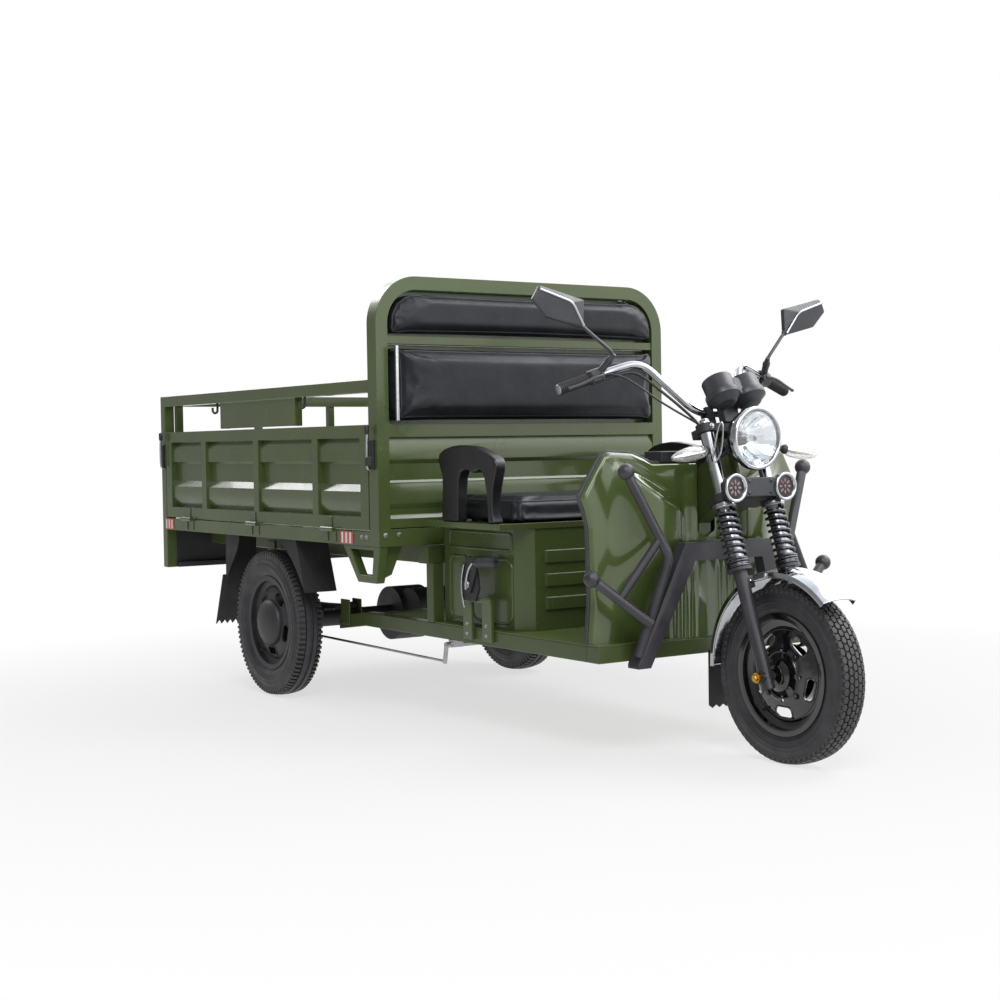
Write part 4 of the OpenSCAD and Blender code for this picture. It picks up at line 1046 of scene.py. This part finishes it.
def make_bar():
    right = [on_fork(*p) for p in BAR]
    left = [Vector((p.x, -p.y, p.z)) for p in right]
    path = bent_path(right[::-1] + left, 46 * MM)
    front_piece("handlebar_tube", tube(path, 11 * MM, 24), CHROME, ["handlebar"], 60)

    start, end = on_fork(*BAR[3]), on_fork(*GRIP_END)
    turn = aimed(start / MM, end - start)
    length = (end - start).length / MM
    grip = [(11.5, 35), (19.5, 35), (20, 37), (19, 39.5), (16.4, 41)]
    for k in range(15):
        h = 42 + 6 * k
        grip += [(15.3, h), (15.3, h + 1.6), (16.5, h + 2.4), (16.5, h + 5)]
    grip += [(16, length - 5), (11.5, length - 5)]
    front_piece("grips", both_sides([spin(grip, 32, turn)]), SOFT_GRIP, ["controls"])
    end_cap = [(0.4, length - 6), (14.6, length - 6), (15, length - 3), (13.6, length - 0.6), (0.4, length)]
    front_piece("bar_ends", both_sides([spin(end_cap, 28, turn)]), ZINC)

    corners = [(1, -0.5), (1, 0.5), (0.6, 1), (-0.6, 1), (-1, 0.5), (-1, -0.5), (-0.6, -1), (0.6, -1)]
    pod = stack([(20.6 * x, 20.6 * y) for x, y in corners],
                [(-2, 0.94), (0, 1), (15.8, 1), (16.4, 0.97), (17, 1), (33, 1), (35, 0.92)])
    perch = tube([on_fork(*CLAMP), on_fork(*PERCH)], 9 * MM, 16)
    stub = tube([on_fork(*CLAMP), on_fork(*MIRROR_BASE)], 10 * MM, 20)
    housing = eased(mesh_piece("switch_pods", *both_sides([placed(pod, turn), perch, stub]), DARK_PLASTIC), 1.6)
    settle(housing, "steering")
    keys = []
    for side in (-1, 1):
        for k, (h, a) in enumerate(((10, 120), (10, 60), (24, 95))):
            out = turn.to_3x3() @ Vector((math.cos(math.radians(a)), math.sin(math.radians(a)), 0))
            place = turn @ (Vector((0, 0, h)) * MM) + out * 19.4 * MM
            along = turn.to_3x3() @ UP
            flip = Vector((1, -side, 1))
            keys.append((place * flip, out * flip, along * flip, (4.6, 3.4, 1) if k < 2 else (6, 4.4, 1.2)))
    key = stack([(-1, -1), (1, -1), (1, 1), (-1, 1)], [(-1.5, 1), (1.6, 0.94), (2.2, 0.8)])
    settle(repeat("switch_keys", key, keys, GREY_PLASTIC), "steering")

    lever = smooth_path([on_fork(*PERCH), on_fork(-112, -338, 896), on_fork(-124, -384, 880), on_fork(*LEVER_END)], 8)
    sizes = [5.6 - 1.4 * k / (len(lever) - 1) for k in range(len(lever))]
    sizes[-3:] = [4.6, 5.6, 4.0]
    front_piece("brake_levers", both_sides([tube(lever, [s * MM for s in sizes], 14)]), POWDER)

    loom, brake_line = (smooth_path([on_fork(*p) for p in points], 8) for points in (LOOM, BRAKE_LINE))
    lines = [tube(loom, 4 * MM, 12), tube(brake_line, 3 * MM, 12)]
    front_piece("cable_sheaths", both_sides(lines), SHEATH, ["control_cables"], 60)
    band = [(4.2, -2), (6, -2), (6, 2), (4.2, 2)]
    ties = [spin(band, 20, aimed(loom[k] / MM, loom[k + 1] - loom[k - 1])) for k in (8, 22)]
    front_piece("cable_ties", both_sides(ties), PLASTIC)


def make_mirrors():
    base = Vector(KNEE) * MM

    def at(out, up, ahead):
        return base + Vector((ahead, -out, up)) * MM

    outline = [(0, -17), (-5, 63), (146, 98), (170, 60), (122, 12)]
    ridge = [(3, -9, 9), (46, 54, 17), (150, 86, 10)]
    front = [at(*p, 2) for p in outline]
    back = [at(o * 0.97 + 2, u * 0.97 + 1, -12) for o, u in outline]
    top = [at(*p) for p in ridge]
    verts = front + back + top
    walls = [[i, i + 5, (i + 1) % 5 + 5, (i + 1) % 5] for i in range(5)]
    faces = [[0, 1, 11, 10], [1, 2, 12, 11], [2, 3, 12], [4, 0, 10], [4, 10, 11], [4, 11, 12], [4, 12, 3], *walls,
             [9, 8, 7, 6, 5]]
    shells = eased(mesh_piece("mirror_shells", *both_sides([(verts, faces)]), DARK_PLASTIC), 3, 3, 12)
    settle(shells, "steering", ["mirrors"])
    line = [at(o, u, a + 0.6) for o, u, a in ridge]
    stripe = tube(bent_path(line, 16 * MM, 6), 3.4 * MM, 10)
    front_piece("mirror_stripes", both_sides([stripe]), CHROME, (), 60)
    pane = [at(o * 0.88 + 8, u * 0.86 + 6, a) for a in (-11.5, -13.2) for o, u in outline]
    pane_faces = [[0, 1, 2, 3, 4], [9, 8, 7, 6, 5], *walls]
    glass = eased(mesh_piece("mirror_panes", *both_sides([(pane, pane_faces)]), MIRROR), 0.6)
    settle(glass, "steering")
    root = on_fork(*MIRROR_BASE)
    lean = (root - on_fork(*CLAMP)).normalized()
    stem = bent_path([root, root + lean * 0.03, at(4, -6, -2)], 0.02)
    boot = tube([root, root + lean * 0.010, root + lean * 0.014, root + lean * 0.03], [0.011, 0.011, 0.0085, 0.006], 20)
    ball = spin([(0.4, -9), (5, -8), (8.4, -3), (8.4, 3), (5, 8), (0.4, 9)], 24, Matrix.Translation(at(4, -8, -3)))
    front_piece("mirror_stems", both_sides([tube(stem, 5 * MM, 16), boot, ball]), POWDER)


def make_fork():
    rise = fork_matrix()
    springs = []
    for y in (-LEG_Y, LEG_Y):
        coil = grown("coil", bpy.data.meshes.new("coil"), COIL, {
            "Turns": 9.0, "Radius": 28 * MM, "Height": 163 * MM, "Wire": 4 * MM, "Finish": DARK_STEEL})
        place = rise @ Matrix.Translation((0, y * MM, 306 * MM))
        springs.append(([place @ v.co for v in coil.data.vertices], [list(p.vertices) for p in coil.data.polygons]))
        bpy.data.objects.remove(coil)
        for s in (304.5, 311, 318):
            wire = [(28 + 3.9 * math.cos(t), s + 3.3 * math.sin(t)) for t in (math.pi * k / 6 for k in range(12))]
            springs.append(spin(wire, 56, rise @ Matrix.Translation((0, y * MM, 0))))
    front_piece("fork_coils", joined(springs), SPRING_STEEL, ["fork_springs"], 60)
    sleeves, washers = [], []
    for y in (-LEG_Y, LEG_Y):
        turn = rise @ Matrix.Translation((0, y * MM, 0))
        sleeves.append(spin([(15.2, 301), (21.5, 301), (22, 303), (22, 473), (21, 474.6), (15.2, 474.6)], 40, turn))
        washers.append(spin([(22, 470.6), (31.6, 470.6), (32.4, 472), (31.6, 474.8), (22, 474.8)], 40, turn))
    front_piece("fork_sleeves", joined(sleeves), SLEEVE_STEEL)
    front_piece("spring_washers", joined(washers), ZINC)
    nuts = [(on_fork(0, y, 716) / MM, rise.to_3x3() @ UP, 2.0) for y in (-LEG_Y, LEG_Y)]
    nuts.append((on_fork(-40, 0, 714) / MM, rise.to_3x3() @ UP, 2.6))
    bolts("yoke_nuts", "steering", HEX_BOLT, nuts, CHROME)
    side = rise.to_3x3() @ Vector((1, 0, 0))
    bolts("yoke_pinch_bolts", "steering", HEX_BOLT,
          [(on_fork(27, y, s) / MM, side, 0.8) for y in (-LEG_Y, LEG_Y) for s in (499, 702)], ZINC)
    bolts("axle_nuts", "steering", HEX_BOLT,
          [(FRONT_AXLE + Vector((0, y, 0)), (0, y, 0), 1.5) for y in (-123, 123)], YELLOW_ZINC)


def make_mudguard():
    """Rolled edges, straps and bolts of the front mudguard."""
    hub, radius, half, strap_turns = Vector((1346, 0, 257)), 250, 58.6, (98, 122)

    def at(turn, y, r=radius):
        a = math.radians(turn)
        return hub + Vector((r * math.cos(a), y, r * math.sin(a)))

    rims = [tube([at(47 + 136 * k / 60, y) * MM for k in range(61)], 2.6 * MM, 10) for y in (-half, half)]
    for end in (47.4, 182.6):
        row = [at(end, y, 125 + math.sqrt(150 ** 2 - y * y) - 1.5) * MM for y in
               (-half + 2 * half * k / 24 for k in range(25))]
        rims.append(tube(row, 2.4 * MM, 10))
    front_piece("mudguard_rolled_edge", joined(rims), CHROME, (), 60)
    foot = on_fork(2, -71.5, 258)
    straps = []
    for turn in strap_turns:
        lip = at(turn, -61.6) * MM
        path = smooth_path([lip + Vector((0, 0, 0.012)), lip, (lip + foot) / 2 + Vector((0, -0.006, 0)), foot], 6)
        straps.append(tube(path, 4.2 * MM, 12))
    plate = spin([(0.4, -3), (12, -3), (13, 0), (12, 3), (0.4, 3)], 28, aimed(on_fork(2, -72, 258) / MM, (0, 1, 0)))
    front_piece("mudguard_straps", both_sides(straps + [plate]), CHROME, (), 60)
    spots = [(at(turn, 63 * y) + Vector((0, 0, 4 * math.sin(math.radians(turn)))), (0, y, 0), 0.7)
             for y in (-1, 1) for turn in strap_turns]
    bolts("mudguard_bolts", "steering", ROUND_BOLT, spots, ZINC)


# Cab and bed fittings

PLATE = 4


def bed_piece(name, part, material, bevel=0.0, angle=35):
    """A piece on the chassis, with its edges eased where a bevel is given."""
    piece = mesh_piece(name, *part, material, angle)
    if bevel:
        eased(piece, bevel)
    return settle(piece, "chassis")


def hung_plate(outline, top, low):
    """Plate that hangs between two (x, z) points, its outline given as (y, share of the way down)."""
    (x0, z0), (x1, z1) = top, low
    depth = Vector((z1 - z0, 0, x0 - x1)).normalized() * PLATE
    face = [Vector((x0 + (x1 - x0) * t, y, z0 + (z1 - z0) * t)) for y, t in outline]
    count = len(face)
    sides = [[k, (k + 1) % count, count + (k + 1) % count, count + k] for k in range(count)]
    return ([p * MM for p in face] + [(p + depth) * MM for p in face],
            [list(range(count))[::-1], list(range(count, 2 * count))] + sides)


def make_rear_mudguards():
    """Upright sheets before and behind each rear wheel with curved cheeks, and a toothed rubber flap."""
    sheet = [(-560, 0), (-440, 0), (-440, 1), (-560, 1)]
    steel = [hung_plate(sheet, (-1011, 566), (-1019, 384)), hung_plate(sheet, (-457, 566), (-393, 384)),
             side_slab([(-1015, 566), (-902, 566), (-906, 536), (-920, 509), (-950, 474), (-986, 435), (-1021, 384)],
                       -562, -558),
             side_slab([(-457, 566), (-576, 566), (-576, 549), (-530, 524), (-487, 490), (-455, 458), (-427, 423),
                        (-393, 384)], -562, -558)]
    guards = mesh_piece("rear_mudguards", *both_sides(steel), FLAP_RUBBER)
    settle(eased(guards, 1), "chassis", ["mudguards"])
    teeth = [(-572, 0), (-440, 0)] + [(-440 - 11 * k, 0.92 if k % 2 else 1) for k in range(13)]
    flap = both_sides([hung_plate(teeth, (-1022, 410), (-1092, 222))])
    settle(mesh_piece("rear_flaps", *flap, FLAP_RUBBER), "chassis")


def make_reflectors():
    """Red plates with three pale bars on the bed's beams."""
    plates, bars = [], []
    for x in (-1512, -77):
        plates.append(box_part((x - 40, -HALF_W - 3, 563), (x + 40, -HALF_W + 1, 603)))
        for k in (-26, 0, 26):
            bars.append(box_part((x + k - 4.5, -HALF_W - 3.8, 566), (x + k + 4.5, -HALF_W - 2, 600)))
    bed_piece("bed_reflectors", both_sides(plates), RED_TAPE, 1.2)
    bed_piece("bed_reflector_bars", both_sides(bars), WHITE_TAPE, 0.5)


def make_hooks():
    """Rope hooks welded under the side rails."""
    hooks = []
    for x in (-1090, -390):
        top = surface("side_rail_right", (x, -550, 960), (0, 0, 1))
        path = [(x, -550, top.z + 2), (x, -550, top.z - 20), (x, -552, top.z - 32), (x, -562, top.z - 36),
                (x, -569, top.z - 28), (x, -569, top.z - 16)]
        hooks.append(tube(smooth_path([Vector(p) * MM for p in path], 6), 4.5 * MM, 12))
    bed_piece("rope_hooks", both_sides(hooks), POWDER, 0, 60)


def make_cab_fittings():
    strip = box_part((158, -522, 950), (168, -511, 1184))
    bed_piece("backrest_end_strip", strip, ZINC, 3)

    bead = []
    for x0, x1, z0, z1, r in ((318, 538, 336, 528, 34), (196, 538, 556, 606, 12), (196, 296, 336, 528, 22)):
        cx, cz = (x0 + x1) / 2, (z0 + z1) / 2
        loop = [Vector((cx + a, -352, cz + b)) * MM for a, b in rounded((x1 - x0) / 2, (z1 - z0) / 2, r)]
        bead.append(tube(loop + loop[:2], 4.5 * MM, 8))
    bed_piece("seat_box_pressings", both_sides(bead), PAINT, 0, 60)

    tab = joined([box_part((600, -22, 634), (603.4, 22, 668)), box_part((599, -22, 632), (603.4, 22, 636))])
    strap = eased(mesh_piece("seat_pull_tab", *tab, WELT), 1.2)
    settle(strap, "seat")


ARMREST = [(276, 640), (278, 690), (282, 740), (281, 780), (268, 806), (259, 828), (266, 848), (290, 860), (330, 868),
           (375, 872), (420, 871), (465, 866), (505, 857), (542, 845), (568, 832), (576, 816), (574, 798), (563, 768),
           (554, 737), (550, 700), (553, 665), (562, 640), (530, 640), (529, 690), (523, 735), (513, 774), (502, 791),
           (488, 798), (468, 793), (448, 789), (428, 795), (404, 797), (382, 791), (371, 770), (367, 733), (365, 690),
           (365, 640)]
GUARD_RIBS = [(906, 116), (892, 116), (868, 127), (830, 127), (818, 116), (766, 116), (759, 121), (753, 121),
              (737, 127), (692, 127), (676, 116), (658, 116), (646, 126), (617, 126)]


def make_cab():
    outline = [(x, z) for z, x in GUARD_RIBS] + [(115.2, 617), (115.2, 906)]
    pressing = mesh_piece("guard_pressing", *side_slab(outline, -527.5, 527.5), PAINT)
    settle(eased(pressing, 1.6), "chassis")

    rests = mesh_piece("armrest_arches", *both_sides([side_slab(ARMREST, -434, -392)]), GLOSS_PLASTIC)
    settle(eased(rests, 8, 4, 50), "chassis", ["armrests"])
    ribs = []
    for side in (-1, 1):
        for k in range(9):
            x = 300 + 13 * k
            top = along_table([(290, 860), (330, 868), (375, 872), (420, 871)], x)
            ribs.append((Vector((x, side * 413, top - 0.6)) * MM, (0, 0, 1), (0, 1, 0), (1, 1, 1)))
    rib = stack([(-15, -2.4), (15, -2.4), (15, 2.4), (-15, 2.4)], [(-2, 1), (1.2, 0.96), (2, 0.84)])
    settle(repeat("armrest_ribs", rib, ribs, GLOSS_PLASTIC), "chassis")


def make_parking_brake():
    """Lever on two uprights: a black ratchet quadrant, its chrome pawl and rod, and a round level grip."""
    feet = [side_slab([(342, 282), (390, 282), (390, 408), (342, 408)], -403, -392),
            side_slab([(446, 282), (497, 282), (497, 400), (484, 416), (446, 416)], -403, -392),
            box_part((342, -406, 398), (497, -394, 412))]
    stand = mesh_piece("brake_stand", *joined(feet), PAINT)
    settle(eased(stand, 2), "chassis", ["parking_brake"])
    quadrant = side_slab([(362, 402), (428, 402), (446, 440), (440, 486), (424, 524), (396, 538), (372, 520),
                          (362, 470)], -415, -405)
    cheek = side_slab([(384, 430), (412, 426), (452, 506), (446, 534), (424, 538)], -424, -416)
    plates = mesh_piece("brake_quadrant", *joined([quadrant, cheek]), BLACK_STEEL)
    settle(eased(plates, 2), "chassis")
    teeth = []
    for k in range(9):
        a = math.radians(60 + 12 * k)
        place = Vector((404 + 62 * math.cos(a), -410, 458 + 70 * math.sin(a))) * MM
        teeth.append((place, (math.cos(a), 0, math.sin(a)), (0, 1, 0), (1, 1, 1)))
    tooth = stack([(-4, -3.4), (4, -3.4), (4, 3.4), (-4, 3.4)], [(-4, 1), (2, 0.9), (4.6, 0.4)])
    settle(repeat("brake_ratchet", tooth, teeth, ZINC), "chassis")
    pawl = [(398, -427, 438), (404, -428, 470), (416, -427, 500), (436, -426, 520)]
    rod = [(376, -418, 512), (364, -419, 470), (362, -418, 420), (372, -417, 380)]
    chrome = [tube(smooth_path([Vector(p) * MM for p in points], 6), wire * MM, 12)
              for points, wire in ((pawl, 4.4), (rod, 3.2))]
    pivot = [(0.4, -12), (11, -12), (12, -10), (12, 9), (11, 11), (0.4, 11)]
    chrome.append(spin(pivot, 28, aimed((404, -418, 452), (0, 1, 0))))
    bed_piece("brake_pawl", joined(chrome), CHROME, 0, 50)
    handle = [(0.4, 0), (10, 0), (14.6, 4), (15.4, 9)]
    for k in range(8):
        h = 12 + 11 * k
        handle += [(15.4, h), (16.8, h + 2), (16.8, h + 8), (15.4, h + 9.6)]
    handle += [(15, 102), (12, 106), (6, 106), (5.4, 98), (0.4, 97)]
    bed_piece("brake_grip", spin(handle, 36, aimed((443, -417, 520), (1, 0, 0.06))), DARK_PLASTIC)
    shank = tube([Vector(p) * MM for p in ((424, -419, 500), (436, -418, 514), (452, -417, 521))], 8 * MM, 16)
    bed_piece("brake_shank", shank, BLACK_STEEL)
    bolts("brake_bolts", "chassis", HEX_BOLT, [((x, -403, z), (0, -1, 0), 0.7) for x, z in
                                               ((366, 300), (366, 330), (470, 300), (470, 330))], ZINC)


def make_bolts():
    """Bolt heads where the guard's feet meet the bed's beams."""
    spots = [(surface("bed_frame", (x, -700, 588), (0, 1, 0)), (0, -1, 0), 0.8) for x in (20, 52)]
    spots += [(surface("guard_frame", (300, y, 595), (-1, 0, 0)), (1, 0, 0), 0.8) for y in (-547, -497)]
    left = [(Vector((p[0], -p[1], p[2])), (aim[0], -aim[1], aim[2]), k) for p, aim, k in spots]
    bolts("frame_bolts", "chassis", HEX_BOLT, spots + left, ZINC)


def make_latches():
    """Chrome toggle levers with black knobs over the latch plates."""
    levers, knobs = [], []
    knob = [(0.4, 0), (5.5, 0), (7, 3), (7.4, 24), (5.6, 29), (0.4, 31)]
    for x in (-1549, 90):
        foot = surface("latches", (x, -700, 846), (0, 1, 0))
        path = [foot + Vector(d) for d in ((0, 1, -44), (0, -7, -38), (0, -9, -8), (0, -9, 36), (0, -8, 64))]
        levers.append(tube(smooth_path([p * MM for p in path], 6), 4.5 * MM, 12))
        knobs.append(spin(knob, 20, aimed(path[-1], (0, 0, 1))))
    bed_piece("latch_levers", both_sides(levers), CHROME, 0, 60)
    bed_piece("latch_knobs", both_sides(knobs), PLASTIC)


# Painted steel, plastic and metal nodes that keep their CAD shape

def dress_nodes():
    eased_nodes = [
        (PAINT, 3.0, ["guard_frame", "side_rail_right", "side_rail_left", "bed_frame", "seat_box", "seat_deck",
                      "inner_panel"]),
        (PAINT, 2.0, ["drop_side_right", "drop_side_left", "tailgate", "guard_panel", "step_brackets"]),
        (UNDER_PAINT, 3.0, ["chassis_rails", "cross_members", "head_frame", "spring_hangers"]),
        (DECK_PAINT, 1.0, ["floor_panel", "bed_floor"]),
        (POWDER, 2.0, ["crash_bar_right", "crash_bar_left"]),
        (BLACK_STEEL, 2.0, ["rear_apron", "rear_axle", "leaf_springs", "fork_yokes"]),
        (POWDER, 1.5, ["fork_sliders"]),
        (PLASTIC, 3.0, ["dash_tray"]),
        (PLASTIC, 1.2, ["latches"]),
        (FLAP_RUBBER, 0.8, ["fender_flap"]),
        (BATTERY, 4.0, ["battery_pack"]),
        (RED_LENS, 4.0, ["tail_lamps"]),
        (CHROME, 0.6, ["fork_tubes", "front_fender"]),
        (ZINC, 0.6, ["brake_rods"]),
        (YELLOW_ZINC, 1.0, ["front_axle"]),
        (WHEEL_GLOSS, 1.0, ["front_wheel"]),
        (WHEEL_SATIN, 1.0, ["rear_wheel_right", "rear_wheel_left"]),
    ]
    for material, bevel, names in eased_nodes:
        for name in names:
            dress(name, material, bevel)


# Floor and light

DIM_SIDE = (-0.25, -0.97, 0.0)
FLOOR_HALF = 30
SURROUND_FILL = 0.36
LAMP_TARGET = Vector((0.2, 0, 0.6))


def make_stage():
    """A white floor that melts into a white surround, with the object's shadow on it."""
    material, tree, place = new_material("stage_floor")
    away = add(tree, "ShaderNodeVectorMath", {0: place}, operation="LENGTH")
    fade = add(tree, "ShaderNodeMapRange", {0: away.outputs["Value"], 1: 1.0, 2: 3.0, 3: 0.66, 4: 1.0})
    matte = add(tree, "ShaderNodeBsdfDiffuse", {"Color": srgb("f4f4f3")})
    aside = add(tree, "ShaderNodeVectorMath", {0: place, 1: DIM_SIDE}, operation="DOT_PRODUCT")
    dull = add(tree, "ShaderNodeMapRange", {0: aside.outputs["Value"], 1: 0.8, 2: 4.0, 3: 1.0, 4: 0.5})
    rays = add(tree, "ShaderNodeLightPath").outputs
    power = add(tree, "ShaderNodeMapRange", {0: rays["Is Glossy Ray"], 1: 0.0, 2: 1.0, 3: 1.0, 4: dull.outputs[0]})
    glow = add(tree, "ShaderNodeEmission", {"Color": srgb("ffffff"), "Strength": power.outputs[0]})
    blend = add(tree, "ShaderNodeMixShader", {0: fade.outputs[0], 1: matte.outputs[0], 2: glow.outputs[0]})
    close_material(tree, blend)
    verts = [(x * FLOOR_HALF, y * FLOOR_HALF, 0) for x, y in ((-1, -1), (1, -1), (1, 1), (-1, 1))]
    floor = mesh_piece("floor", verts, [[0, 1, 2, 3]], material)

    world = bpy.data.worlds.new("surround")
    bpy.context.scene.world = world
    world.use_nodes = True
    tree = world.node_tree
    tree.nodes.clear()
    look = add(tree, "ShaderNodeTexCoord").outputs["Generated"]
    height = add(tree, "ShaderNodeSeparateXYZ", {0: look})
    sky = add(tree, "ShaderNodeValToRGB", {"Fac": height.outputs["Z"]})
    sky.color_ramp.elements[0].position, sky.color_ramp.elements[1].position = 0.35, 0.95
    sky.color_ramp.elements[0].color, sky.color_ramp.elements[1].color = srgb("ffffff"), srgb("a0a4aa")
    front = add(tree, "ShaderNodeVectorMath", {0: look, 1: DIM_SIDE}, operation="DOT_PRODUCT")
    dim = add(tree, "ShaderNodeMapRange", {0: front.outputs["Value"], 1: -0.6, 2: 0.65, 3: 1.8, 4: 0.2})
    rays = add(tree, "ShaderNodeLightPath").outputs
    lift = add(tree, "ShaderNodeMapRange", {0: height.outputs["Z"], 1: 0.2, 2: 0.6, 3: 1.0, 4: 2.8})
    shown = add(tree, "ShaderNodeMath", {0: dim.outputs[0], 1: lift.outputs[0]}, operation="MULTIPLY")
    in_gloss = add(tree, "ShaderNodeMath", {0: rays["Is Glossy Ray"], 1: shown.outputs[0]}, operation="MULTIPLY")
    plain = add(tree, "ShaderNodeMath", {0: rays["Is Camera Ray"], 1: rays["Is Transmission Ray"]},
                operation="ADD", use_clamp=True)
    seen = add(tree, "ShaderNodeMath", {0: plain.outputs[0], 1: in_gloss.outputs[0]}, operation="MAXIMUM")
    level = add(tree, "ShaderNodeMath", {0: seen.outputs[0], 1: SURROUND_FILL}, operation="MAXIMUM")
    back = add(tree, "ShaderNodeBackground", {"Color": sky.outputs[0], "Strength": level.outputs[0]})
    add(tree, "ShaderNodeOutputWorld", {"Surface": back.outputs[0]})

    lamps = [("key", (4.0, -2.4, 4.4), 2.4, 130), ("rear_box", (-4.7, -0.7, 3.5), 2.2, 80),
             ("left_box", (1.6, 2.4, 3.8), 2.2, 70), ("front_box", (5.9, 0.9, 1.9), 1.8, 34)]
    for name, spot, size, watts in lamps:
        lamp = bpy.data.lights.new(name, "AREA")
        lamp.size = size
        lamp.energy = watts
        made = new_object(name, lamp)
        made.location = spot
        made.rotation_euler = (LAMP_TARGET - Vector(spot)).to_track_quat("-Z", "Y").to_euler()


bpy.context.scene.view_settings.view_transform = "Standard"
make_camera()
make_stage()
dress_nodes()
make_wheels()
make_shield()
make_cushions()
make_headlamp()
make_indicators()
make_horns()
make_instruments()
make_bar()
make_mirrors()
make_fork()
make_mudguard()
make_rear_mudguards()
make_reflectors()
make_hooks()
make_cab_fittings()
make_cab()
make_parking_brake()
make_bolts()
make_latches()

for name, node in NODES.items():
    if not node.hide_render:
        paint(node, {"leather": LEATHER, "tyre": RUBBER, "chrome": CHROME, "steel": ZINC,
                     "green_paint": PAINT}.get(SLOT_OF[name], PLASTIC))
